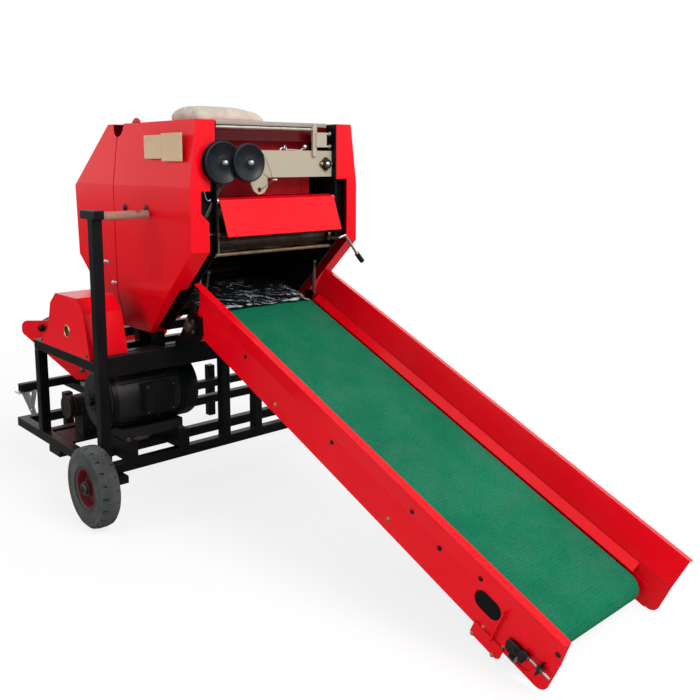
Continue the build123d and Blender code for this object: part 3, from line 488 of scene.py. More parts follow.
def make_finishes(paint):
    """Every finish of the machine: the record's slots first, then those of the fittings."""
    red = tuple(paint.red)
    gloss = {"dust": 0.02, "under": (0.16, 0.004, 0.006), "fade": 0.1, "coat": 0.06, "specular": 0.22}
    FINISHES["red_paint"] = painted("Gloss red paint", red, 0.24, **gloss)
    FINISHES["door_paint"] = painted("Gloss red paint, black inside", red, 0.24, **gloss,
                                     inside=(CHAMBER_FRONT - 0.5, 0, 1.08))
    # The roof's faces that look forward take a dim red: painted shade for the shadow of the roof's overhang
    FINISHES["roof_front_shade_paint"] = painted("Gloss red paint with painted shade in front", red, 0.24, **gloss,
                                     inside=(CHAMBER_FRONT + 1.5, 0, 1.3), inner=(0.09, 0.001, 0.004))
    FINISHES["tan_plate"] = painted("Tan plate enamel", (0.6, 0.43, 0.27), 0.42, dust=0.12, wear=0.25,
                                    under=(0.3, 0.28, 0.25), fade=0.2, specular=0.25)
    # A darker, duller red for the shield under the beam: painted shade from the roof above it
    FINISHES["beam_shade_paint"] = painted("Red paint with painted shade under the beam", (red[0] * 0.62, red[1], red[2]), 0.4, dust=0.1,
                                       wear=0.3, under=(0.1, 0.004, 0.006), fade=0.35, specular=0.12)
    FINISHES["frame_black"] = painted("Black frame paint", tuple(paint.black), 0.34, dust=0.02, wear=0.2,
                                      specular=0.16)
    FINISHES["tyre_rubber"] = painted("Dusty solid rubber", (0.024, 0.029, 0.028), 0.75, dust=0.75, wear=0.4,
                                      under=(0.13, 0.14, 0.13), grain=0.0012, dust_colour=(0.16, 0.17, 0.155))
    FINISHES["rim_red"] = painted("Rim red paint", (0.16, 0.003, 0.016), 0.5, dust=0.4, wear=0.7,
                                  dust_colour=(0.05, 0.035, 0.035), specular=0.3)
    FINISHES["belt_green"] = belt_rubber("Green belt", tuple(paint.belt))
    FINISHES["bare_steel"] = metal("Bare steel", (0.5, 0.47, 0.42), (0.2, 0.15, 0.09))
    FINISHES["dark_steel"] = painted("Dark steel", (0.008, 0.008, 0.008), 0.42, dust=0.08, wear=0.4,
                                     under=(0.12, 0.11, 0.1), specular=0.25)
    FINISHES["beige_paint"] = painted("Beige paint", tuple(paint.beige), 0.4, dust=0.1, wear=0.3,
                                      under=(0.2, 0.17, 0.12))
    FINISHES["black_plastic"] = painted("Black plastic", (0.003, 0.006, 0.01), 0.4, dust=0.04, wear=0.25,
                                        under=(0.05, 0.055, 0.06), grain=0.0004, specular=0.3)
    FINISHES["wood"] = bare_timber("Bare timber", (0.33, 0.17, 0.12), (0.08, 0.035, 0.022))
    FINISHES["sack_cloth"] = sack_cloth("Sack cloth", tuple(paint.sack))
    FINISHES["zinc"] = metal("Bright zinc", (0.72, 0.72, 0.72), (0.4, 0.4, 0.4), 0.28)
    FINISHES["yellow_zinc"] = metal("Yellow zinc", (0.55, 0.4, 0.16), (0.25, 0.14, 0.05), 0.32)
    FINISHES["worn_steel"] = metal("Worn dark steel", (0.1, 0.09, 0.08), (0.05, 0.03, 0.02), 0.45, 0.8)
    FINISHES["rusty_steel"] = metal("Rusty rod steel", (0.34, 0.25, 0.15), (0.12, 0.06, 0.03), 0.4, 0.85)
    FINISHES["roller_steel"] = metal("Greased roller steel", (0.09, 0.07, 0.055), (0.03, 0.02, 0.015), 0.35, 0.85)
    FINISHES["film"] = crumpled_film("Crumpled film", (0.006, 0.007, 0.008))
    FINISHES["roof_grey"] = painted("Grey roof strip", (0.33, 0.3, 0.26), 0.45, dust=0.3, wear=0.3)


# The nodes with a finish of their own in place of their record slot's
NODE_FINISH = {"door": "door_paint", "roof": "roof_front_shade_paint", "inner_shield": "beam_shade_paint",
               "feed_roller": "roller_steel", "chamber_rollers": "roller_steel", "door_rollers": "roller_steel",
               "guide_rod": "rusty_steel"}


def dress(made, finish):
    """Gives a piece its finish, in place of any it has."""
    made.data.materials.clear()
    made.data.materials.append(FINISHES[finish])


# Shaping


def add(kind, name, **values):
    """Adds a primitive with nothing else selected."""
    bpy.ops.object.select_all(action="DESELECT")
    getattr(bpy.ops.mesh, "primitive_" + kind + "_add")(**values)
    made = bpy.context.object
    made.name = name
    made.data.name = name
    return made


def take(made):
    """Selects one piece and nothing else."""
    bpy.ops.object.select_all(action="DESELECT")
    made.select_set(True)
    bpy.context.view_layer.objects.active = made


def settle(made):
    """Puts a piece's place, turn and scale into its mesh."""
    take(made)
    bpy.ops.object.transform_apply(location=True, rotation=True, scale=True)
    return made


def press(made, direction, *insets):
    """Insets the flat faces that look in a direction, once for each (thickness, depth)."""
    bpy.context.view_layer.objects.active = made
    bpy.ops.object.mode_set(mode="EDIT")
    bpy.ops.mesh.select_mode(type="FACE")
    bpy.ops.mesh.select_all(action="DESELECT")
    bpy.ops.object.mode_set(mode="OBJECT")
    for face in made.data.polygons:
        face.select = face.normal.dot(Vector(direction)) > 0.9999
    bpy.ops.object.mode_set(mode="EDIT")
    for thickness, depth in insets:
        bpy.ops.mesh.inset(thickness=thickness, depth=depth)
    bpy.ops.object.mode_set(mode="OBJECT")


def bevelled(made, width, segments=2, angle=40.0):
    """Rounds the sharp edges of a piece."""
    edges = made.modifiers.new("Edges", "BEVEL")
    edges.width = width
    edges.segments = segments
    edges.limit_method = "ANGLE"
    edges.angle_limit = math.radians(angle)
    bpy.context.view_layer.objects.active = made
    bpy.ops.object.modifier_apply(modifier="Edges")
    return made


def plate(name, size, centre=(0, 0, 0), edge=0.001, segments=2):
    """Flat plate or bar with rounded edges, its size and centre in metres."""
    made = add("cube", name, size=1, location=centre)
    made.scale = size
    settle(made)
    return bevelled(made, edge, segments)


def strut(name, start, end, thick, wide, edge):
    """Flat bar from one point to another in the plane of Y and Z."""
    made = plate(name, (thick, wide, (end - start).length), (0, 0, 0), edge)
    lean = math.atan2(start.y - end.y, start.z - end.z)
    made.data.transform(Matrix.Translation((start + end) / 2) @ Matrix.Rotation(lean, 4, "X").inverted())
    return made


def turned(name, profile, vertices=32):
    """Turned piece on the Z axis, from its radii and heights in metres, extruded ring by ring."""
    r, z = profile[0]
    made = add("circle", name, vertices=vertices, radius=r, fill_type="NGON", location=(0, 0, z))
    settle(made)
    bpy.ops.object.mode_set(mode="EDIT")
    bpy.ops.mesh.select_mode(type="FACE")
    bpy.ops.mesh.select_all(action="SELECT")
    for next_r, next_z in profile[1:]:
        bpy.ops.mesh.extrude_region_move(TRANSFORM_OT_translate={"value": (0, 0, next_z - z)})
        grow = next_r / r
        bpy.ops.transform.resize(value=(grow, grow, 1), center_override=(0, 0, next_z))
        r, z = next_r, next_z
    bpy.ops.mesh.select_all(action="SELECT")
    bpy.ops.mesh.normals_make_consistent(inside=False)
    bpy.ops.object.mode_set(mode="OBJECT")
    return made


def twin(made, name):
    """Copy of a piece with a mesh of its own."""
    other = made.copy()
    other.data = made.data.copy()
    other.name = name
    bpy.context.collection.objects.link(other)
    return other


def stand(made, place, along=(0, 0, 1), turn=0.0):
    """Moves a piece modelled on the Z axis at the origin to its place, with that axis laid along a direction."""
    lay = Vector(along).to_track_quat("Z", "Y").to_matrix().to_4x4()
    made.data.transform(Matrix.Translation(place) @ lay @ Matrix.Rotation(turn, 4, "Z"))
    return made


def join(parts, name):
    """Joins pieces into one under a name."""
    bpy.ops.object.select_all(action="DESELECT")
    for part in parts:
        part.select_set(True)
    bpy.context.view_layer.objects.active = parts[0]
    if len(parts) > 1:
        bpy.ops.object.join()
    made = bpy.context.object
    made.name = name
    made.data.name = name
    return made


def fit(made, body, finish, angle=35.0):
    """Smooths a finished piece up to an angle, gives it its finish and hangs it on its body."""
    take(made)
    bpy.ops.object.shade_smooth_by_angle(angle=math.radians(angle))
    dress(made, finish)
    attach(made, body)
    return made


def spread_out(first, places, name):
    """Copies a piece to each (place, direction, turn) and joins the copies under a name."""
    parts = []
    for i, (place, along, turn) in enumerate(places):
        other = twin(first, name + "_" + str(i))
        parts.append(stand(other, place, along, turn))
    bpy.data.objects.remove(first)
    return join(parts, name)


def bolt(name, half, washer=True):
    """Hexagon bolt head on a washer, with a stub of thread above it."""
    head = turned(name, [(half * 1.12, 0.0), (half * 1.15, half * 0.1), (half * 1.15, half * 0.75),
                         (half * 0.98, half * 0.85)], vertices=6)
    parts = [head]
    if washer:
        ring = [(half * 1.5, -0.0004), (half * 1.62, 0.0002), (half * 1.62, half * 0.16), (half * 1.5, half * 0.2)]
        parts.append(turned(name + "_washer", ring, vertices=20))
    parts.append(turned(name + "_stub", [(half * 0.55, half * 0.8), (half * 0.55, half * 1.1),
                                         (half * 0.42, half * 1.22)], vertices=12))
    return join(parts, name)


def wire(name, points, radius, vertices=8):
    """Stiff bent wire along points in the row frame, as a mesh."""
    line = bpy.data.curves.new(name, "CURVE")
    line.dimensions = "3D"
    run = line.splines.new("NURBS")
    run.points.add(len(points) - 1)
    for knot, point in zip(run.points, points):
        knot.co = (*point, 1)
    run.order_u = 3
    run.use_endpoint_u = True
    line.bevel_depth = radius
    line.bevel_resolution = max(1, vertices // 4)
    line.use_fill_caps = True
    line.resolution_u = 8
    made = bpy.data.objects.new(name, line)
    bpy.context.collection.objects.link(made)
    take(made)
    bpy.ops.object.convert(target="MESH")
    made = bpy.context.object
    made.name = name
    return made


# Stage


def mix_shaders(tree, share, first, second, end):
    """Mixes two shaders by a share and sends them to an output node."""
    mix = node(tree, "ShaderNodeMixShader")
    tree.links.new(share, mix.inputs[0])
    tree.links.new(first.outputs[0], mix.inputs[1])
    tree.links.new(second.outputs[0], mix.inputs[2])
    tree.links.new(mix.outputs[0], tree.nodes[end].inputs["Surface"])


def pale_floor():
    """Floor that keeps shadows near the machine and turns white farther off."""
    floor = add("plane", "floor", size=60, location=(0, 0, -0.001))
    settle(floor)
    pale, tree, shader = new_material("Pale floor")
    shader.inputs["Base Color"].default_value = (0.92, 0.92, 0.92, 1)
    shader.inputs["Roughness"].default_value = 0.9
    shader.inputs["Specular IOR Level"].default_value = 0.0
    white = node(tree, "ShaderNodeEmission", Color=(1, 1, 1, 1))
    reach = texture(tree, "ShaderNodeVectorMath", operation="LENGTH")
    far = spread(tree, reach.outputs["Value"], 1.0, 4.0, 0.8, 1.0)
    path = node(tree, "ShaderNodeLightPath")
    tree.links.new(spread(tree, path.outputs["Is Camera Ray"], 0.0, 1.0, 0.1, 1.0), white.inputs["Strength"])
    seen = maths(tree, "MAXIMUM", path.outputs["Is Camera Ray"], path.outputs["Is Glossy Ray"])
    mix_shaders(tree, maths(tree, "MULTIPLY", far, seen), shader, white, "Material Output")
    floor.data.materials.append(pale)


def studio_world(scene):
    """Even pale light all round, white where it is seen or mirrored."""
    world = bpy.data.worlds.new("Studio")
    scene.world = world
    world.use_nodes = True
    sky = world.node_tree
    plain = sky.nodes["Background"]
    plain.inputs["Color"].default_value = (1, 1, 1, 1)
    plain.inputs["Strength"].default_value = 0.58
    bright = node(sky, "ShaderNodeBackground", Color=(1, 1, 1, 1), Strength=1.0)
    rays = node(sky, "ShaderNodeLightPath")
    either = maths(sky, "MAXIMUM", rays.outputs["Is Camera Ray"], rays.outputs["Is Transmission Ray"])
    either = maths(sky, "MAXIMUM", either, rays.outputs["Is Glossy Ray"])
    mix_shaders(sky, either, plain, bright, "World Output")


# Operators


class BALER_OT_stage(bpy.types.Operator):
    """Lays the pale floor, hangs the soft lights and stands the camera at its place"""

    bl_idname = "baler.stage"
    bl_label = "Stage"

    def execute(self, context):
        settings = context.scene.baler_stage
        pale_floor()
        studio_world(context.scene)
        middle = Vector((0, 0, 0.7))
        for name, place, size, power in (
            ("key", (4.6, 0.2, 4.6), 3.2, settings.key_power),
            ("fill", (-0.6, -5.2, 2.8), 3.0, settings.fill_power),
            ("back", (-2.5, 3.6, 4.2), 3.0, settings.fill_power * 0.8),
        ):
            bpy.ops.object.light_add(type="AREA", location=place)
            lamp = context.object
            lamp.name = name
            lamp.data.shape = "DISK"
            lamp.data.size = size
            lamp.data.energy = power
            lamp.rotation_euler = (middle - Vector(place)).to_track_quat("-Z", "Y").to_euler()
        bpy.ops.object.camera_add(location=at(*CAMERA_PLACE))
        camera = context.object
        camera.rotation_euler = (math.pi / 2 - settings.camera_pitch, 0, settings.camera_azimuth)
        camera.data.sensor_width = 36
        camera.data.lens = settings.lens
        camera.data.shift_x, camera.data.shift_y = CAMERA_SHIFT
        context.scene.camera = camera
        context.scene.view_settings.view_transform = "Standard"
        return {"FINISHED"}


class BALER_OT_finishes(bpy.types.Operator):
    """Makes the finishes and gives each carried-over part its own"""

    bl_idname = "baler.finishes"
    bl_label = "Finishes"

    def execute(self, context):
        make_finishes(context.scene.baler_paint)
        slots = {part["node"]: part["material_slot"] for part in frame["record"]["subparts"]}
        for name, part in frame["nodes"].items():
            dress(part, NODE_FINISH.get(name, slots[name]))
        return {"FINISHED"}


class BALER_OT_sack(bpy.types.Operator):
    """Stuffs the woven twine sack that lies on the roof"""

    bl_idname = "baler.sack"
    bl_label = "Twine sack"

    def execute(self, context):
        low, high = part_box("twine_sack")
        middle = (low + high) / 2
        swell = context.scene.baler_fittings.sack_swell
        pressure, moments = 4.0, 20
        size = (high - low) - Vector((0.012, 0.012, 0.0))
        sack = add("cube", "sack", size=1, location=(middle.x, middle.y, low.z + size.z / 2))
        sack.scale = size
        settle(sack)
        bevelled(sack, 0.03, 5)
        sack.data.remesh_voxel_size = 0.006
        bpy.ops.object.voxel_remesh()
        for corner in sack.data.vertices:
            place = corner.co
            rise = (place.z - low.z) / size.z
            lumps = noise.fractal(place * 6.0, 1.0, 2.0, 2)
            folds = noise.ridged_multi_fractal(place * Vector((22.0, 8.0, 16.0)), 1.0, 2.1, 3, 1.0, 2.0)
            edge = math.hypot((place.x - middle.x) / size.x, (place.y - middle.y) / size.y) * 2
            place.z -= rise * (0.02 * max(0.0, edge - 0.3) ** 1.6 - 0.003 * lumps + 0.0012 * folds)
            slope = (place.x - middle.x) / size.x + (place.y - middle.y) / size.y
            place.z -= rise * 0.012 * (slope + 0.5)
            place.x += (place.x - middle.x) * 0.03 * lumps
            place.y += (place.y - middle.y) * 0.03 * lumps
        cloth = sack.modifiers.new("Cloth", "CLOTH")
        cloth.settings.use_pressure = True
        cloth.settings.uniform_pressure_force = pressure
        cloth.settings.effector_weights.gravity = 0.0
        before = [corner.co.copy() for corner in sack.data.vertices]
        for moment in range(1, moments + 1):
            context.scene.frame_set(moment)
        shaped = sack.evaluated_get(context.evaluated_depsgraph_get())
        moved = [corner.co.copy() for corner in shaped.data.vertices]
        sack.modifiers.remove(cloth)
        context.scene.frame_set(1)
        for corner, start, end in zip(sack.data.vertices, before, moved):
            way = end - start
            if way.length > swell:
                way = way.normalized() * swell
            corner.co = start + way
        for corner in sack.data.vertices:
            corner.co.z = min(max(corner.co.z, low.z), high.z + 0.02)
        smooth = sack.modifiers.new("Smooth", "SUBSURF")
        smooth.levels = 1
        smooth.render_levels = 1
        bpy.context.view_layer.objects.active = sack
        bpy.ops.object.modifier_apply(modifier="Smooth")
        fit(sack, "machine", "sack_cloth", 80)
        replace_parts(sack, "twine_sack")
        return {"FINISHED"}


class BALER_OT_film(bpy.types.Operator):
    """Lays the crumpled film that runs from the mouth on to the head of the feed belt"""

    bl_idname = "baler.film"
    bl_label = "Crumpled film"

    def execute(self, context):
        film = add("grid", "film", x_subdivisions=170, y_subdivisions=150, size=1)
        back = FILM_LINE[0][0]
        run = (FILM_LINE[-1][0] - back) / 1000
        film.scale = (run, 0.5, 1)
        settle(film)
        for corner in film.data.vertices:
            x = back + (corner.co.x + run / 2) * 1000
            for (x0, z0), (x1, z1) in zip(FILM_LINE, FILM_LINE[1:]):
                if x <= x1:
                    z = z0 + (z1 - z0) * (x - x0) / (x1 - x0)
                    break
            y = corner.co.y * 1000
            place = Vector((x, y, 0)) / 1000
            ridge = noise.ridged_multi_fractal(place * Vector((14.0, 7.0, 10.0)), 0.9, 2.1, 5, 1.0, 2.2)
            swirl = noise.fractal(place * 5.0 + Vector((3, 1, 7)), 1.0, 2.0, 3)
            edge = 1.0 - max(0.0, (abs(y) - 215) / 35)
            corner.co = at(x + 14 * swirl, y + 10 * noise.noise(place * 8.0), z + (9 * ridge + 8 * swirl) * edge)
        fit(film, "machine", "film", 60)
        return {"FINISHED"}


class BALER_OT_motor(bpy.types.Operator):
    """Fits the motor's fins, fan cowl, box lid, feet and shaft end"""

    bl_idname = "baler.motor"
    bl_label = "Motor fittings"

    def execute(self, context):
        settings = context.scene.baler_fittings
        radius, x, z = 0.12, MOTOR_X, MOTOR_Z
        deep = settings.fin_deep
        fin = plate("fin", (0.0028, 0.25, deep + 0.004), (0, 0, 0), 0.0008, 1)
        fins = []
        for i in range(settings.fins):
            turn = math.tau * i / settings.fins
            side = Vector((math.cos(turn), 0, math.sin(turn)))
            if side.x > 0.86 or side.z < -0.78:
                continue
            other = twin(fin, "fin_" + str(i))
            other.data.transform(Matrix.Translation(at(x, -420, z) + side * (radius + deep / 2 - 0.002))
                                 @ Matrix.Rotation(math.pi / 2 - turn, 4, "Y"))
            fins.append(other)
        bpy.data.objects.remove(fin)
        fit(join(fins, "motor_fins"), "machine", "frame_black")
        bands = []
        for y, wide, r in ((-583, 26, 0.124), (-290, 18, 0.125)):
            band = turned("band_" + str(y), [(r - 0.006, 0), (r, 0.003), (r, wide / 1000 - 0.003),
                                             (r - 0.006, wide / 1000)], vertices=72)
            bands.append(stand(band, at(x, y, z), (0, 1, 0)))
        cowl = turned("cowl", [(0.116, 0), (0.124, 0.002), (0.124, 0.05), (0.119, 0.064), (0.108, 0.07),
                               (0.1, 0.07), (0.098, 0.064), (0.082, 0.064), (0.08, 0.07), (0.062, 0.07),
                               (0.06, 0.064), (0.046, 0.064), (0.044, 0.07), (0.01, 0.07)], vertices=72)
        bands.append(stand(cowl, at(x, -272, z), (0, 1, 0)))
        hub = turned("shaft_end", [(0.052, 0), (0.05, 0.01), (0.034, 0.014), (0.034, 0.018), (0.016, 0.018),
                                   (0.016, 0.03), (0.0145, 0.032)], vertices=40)
        bands.append(stand(hub, at(x, -595, z), (0, -1, 0)))
        fit(join(bands, "motor_ends"), "machine", "frame_black")
        lid = plate("motor_lid", (0.008, 0.128, 0.118), at(-242, -405, 440), 0.003, 3)
        press(lid, (1, 0, 0), (0.008, 0), (0.003, -0.002))
        gland = turned("gland", [(0.013, 0), (0.014, 0.002), (0.014, 0.012), (0.01, 0.014), (0.009, 0.024)],
                       vertices=12)
        stand(gland, at(-270, -405, 386), (0, 0, -1))
        fit(join([lid, gland], "motor_box"), "machine", "frame_black")
        screw = bolt("lid_screw", 0.0035, False)
        places = [(at(-238, -405 + a * 54, 440 + b * 49), (1, 0, 0), 0.3) for a in (-1, 1) for b in (-1, 1)]
        fit(spread_out(screw, places, "motor_lid_screws"), "machine", "worn_steel")
        foot = bolt("foot_bolt", 0.009)
        places = [(at(x + a * 78, y, 280), (0, 0, 1), 0.4) for a in (-1.35, 1.35) for y in (-520, -290)]
        fit(spread_out(foot, places, "motor_base_bolts"), "machine", "worn_steel")
        eye = add("torus", "lifting_eye", major_radius=0.014, minor_radius=0.004, major_segments=28,
                  minor_segments=10)
        eye.data.transform(Matrix.Rotation(math.pi / 2, 4, "X"))
        stem = turned("eye_stem", [(0.012, 0), (0.012, 0.004), (0.006, 0.006), (0.006, 0.012)], vertices=20)
        eye.data.transform(Matrix.Translation((0, 0, 0.024)))
        fit(stand(join([eye, stem], "motor_eye"), at(x, -420, z + 118), (0, 0, 1)), "machine", "frame_black")
        return {"FINISHED"}


class BALER_OT_conveyor(bpy.types.Operator):
    """Bolts up the conveyor's walls, fits its take-ups and closes the slots and holes behind them"""

    bl_idname = "baler.conveyor"
    bl_label = "Conveyor fittings"

    def execute(self, context):
        half = context.scene.baler_fittings.bolt_r
        gold = [(331, 517), (877, 286)]
        small = [(1205, 69), (1273, 37), (1305, 73), (1238, 100)]
        dark = [(161, 656), (623, 459), (976, 345), (1078, 268), (1229, 239), (1474, 135)]
        for name, spots, finish, size in (("wall_bolts", gold, "yellow_zinc", half),
                                          ("clip_bolts", small, "yellow_zinc", half * 0.72),
                                          ("fold_bolts", dark, "dark_steel", half)):
            for side, end in ((-1, "near"), (1, "far")):
                places = []
                for x, z in spots:
                    # The wall leans out over its upper fold and is doubled below the belt
                    n = (x - HEAD_X) * math.sin(INCLINE) + (z - HEAD_Z) * math.cos(INCLINE)
                    out = 294 if n < -26 else 288 + max(0.0, n - 90) * 0.24
                    places.append((at(x, side * out, z), (0, side, 0), x / 50))
                fit(spread_out(bolt(name, size), places, name + "_" + end), "machine", finish)
        blocks, rods, nuts = [], [], []
        for side in (-1, 1):
            lay = Matrix((DOWN_BELT, Vector((0, 1, 0)), OFF_BELT)).transposed().to_4x4()
            for size, s, n, out, edge in (((0.06, 0.014, 0.036), 1634, 18, 292, 0.005),
                                          ((0.02, 0.006, 0.05), 1634, 15, 299, 0.003),
                                          ((0.02, 0.01, 0.016), 1662, 38, 298, 0.003),
                                          ((0.005, 0.022, 0.038), 1709, 38, 298, 0.001)):
                block = plate("block", size, (0, 0, 0), edge, 3)
                block.data.transform(Matrix.Translation(on_belt(s, n, side * out)) @ lay)
                blocks.append(block)
            boss = turned("boss", [(0.016, 0), (0.016, 0.002), (0.0145, 0.003), (0.0115, 0.003), (0.0105, 0.001),
                                   (0.0075, 0.001), (0.007, 0.0035), (0.002, 0.0037)], vertices=36)
            blocks.append(stand(boss, on_belt(1630, 16, side * 299), (0, side, 0)))
            ring = [(0.0036, 0.0)]
            for i in range(36):
                ring += [(0.0033, 0.0012 + 0.0024 * i), (0.0039, 0.0024 + 0.0024 * i)]
            rod = turned("rod_" + str(side), ring, vertices=12)
            rods.append(stand(rod, on_belt(1656, 38, side * 299), DOWN_BELT))
            for s in (1671, 1700, 1714):
                nuts.append((on_belt(s, 38, side * 299), tuple(DOWN_BELT), 0.4))

            # Backs of the slot and of the oblong hole in the wall: a red plate behind the slot, and a black plate in
            # the hole as painted shade
            shield = plate("slot_shield", (0.13, 0.0015, 0.074), (0, 0, 0), 0.0005, 1)
            shield.data.transform(Matrix.Translation(on_belt(1646, 8, side * 283.6)) @ lay)
            fit(shield, "machine", "red_paint")
            shield.name = "slot_shield_" + str(side + 1)
            dark = add("circle", "hole_shade_plate", vertices=64, radius=0.0328, fill_type="NGON")
            for corner in dark.data.vertices:
                corner.co.x += 0.0245 if corner.co.x > 0 else -0.0245
            press(dark, (0, 0, 1), (0.004, 0))
            dark.data.transform(Matrix.Translation(on_belt(1500, 49, side * 285.4)) @ lay
                                @ Matrix.Rotation(math.pi / 2, 4, "X"))
            fit(dark, "machine", "frame_black")
            dark.name = "hole_shade_plate_" + str(side + 1)
        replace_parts(fit(join(blocks, "take_up_blocks"), "machine", "dark_steel"), "take_ups")
        fit(join(rods, "take_up_screws"), "machine", "zinc", 20)
        nut = turned("nut", [(0.0062, 0), (0.0068, 0.0006), (0.0068, 0.005), (0.0062, 0.0056)], vertices=6)
        fit(spread_out(nut, nuts, "take_up_nuts"), "machine", "worn_steel")
        cap = turned("cap", [(0.017, 0), (0.019, 0.001), (0.019, 0.005), (0.0165, 0.007), (0.0165, 0.009),
                             (0.012, 0.0095), (0.012, 0.006), (0.004, 0.006)], vertices=32)
        places = [(on_belt(0, 0, side * 325), (0, side, 0), 0) for side in (-1, 1)]
        fit(spread_out(cap, places, "shaft_caps"), "machine", "worn_steel")
        bearing = bolt("bearing_bolt", 0.006)
        places = []
        for side in (-1, 1):
            for i in range(4):
                turn = math.radians(45 + 90 * i)
                places.append((at(HEAD_X + 27 * math.cos(turn), side * 316, HEAD_Z + 27 * math.sin(turn)),
                               (0, side, 0), 0.2))
        fit(spread_out(bearing, places, "bearing_bolts"), "machine", "worn_steel")
        return {"FINISHED"}


class BALER_OT_wheels(bpy.types.Operator):
    """Fits hub nuts, rim bolts and raised rings to the wheels"""

    bl_idname = "baler.wheels"
    bl_label = "Wheel fittings"

    def execute(self, context):
        centre = at(AXLE_X, 0, AXLE_Z)
        for side, name in ((-1, "near"), (1, "far")):
            body = "wheel_" + name
            stud = bolt("stud", 0.007)
            places = []
            for i in range(5):
                turn = math.tau * i / 5 + 0.3
                spot = centre + Vector((0.046 * math.cos(turn), side * 0.6932, 0.046 * math.sin(turn)))
                places.append((spot, (0, side, 0), turn))
            fit(spread_out(stud, places, "rim_bolts_" + name), body, "worn_steel")
            nut = turned("hub_nut", [(0.027, 0), (0.028, 0.001), (0.028, 0.003), (0.021, 0.003), (0.022, 0.004),
                                     (0.022, 0.012), (0.02, 0.014), (0.013, 0.014), (0.013, 0.0155),
                                     (0.004, 0.0155)], vertices=24)
            stand(nut, centre + Vector((0, side * 0.7205, 0)), (0, side, 0))
            fit(nut, "machine", "worn_steel")
            nut.name = "hub_nut_" + name
            rings = []
            middle, face = 0.691, 0.7286
            for r in (0.0825, 0.122):
                ring = add("torus", "ring", major_radius=r, minor_radius=0.0022, major_segments=72, minor_segments=8)
                for way in (1, -1):
                    other = twin(ring, "ring_" + str(way))
                    place = centre + Vector((0, side * (middle + way * (face - middle)), 0))
                    rings.append(stand(other, place, (0, way * side, 0)))
                bpy.data.objects.remove(ring)
            fit(join(rings, "tyre_rings_" + name), body, "tyre_rubber")
        return {"FINISHED"}


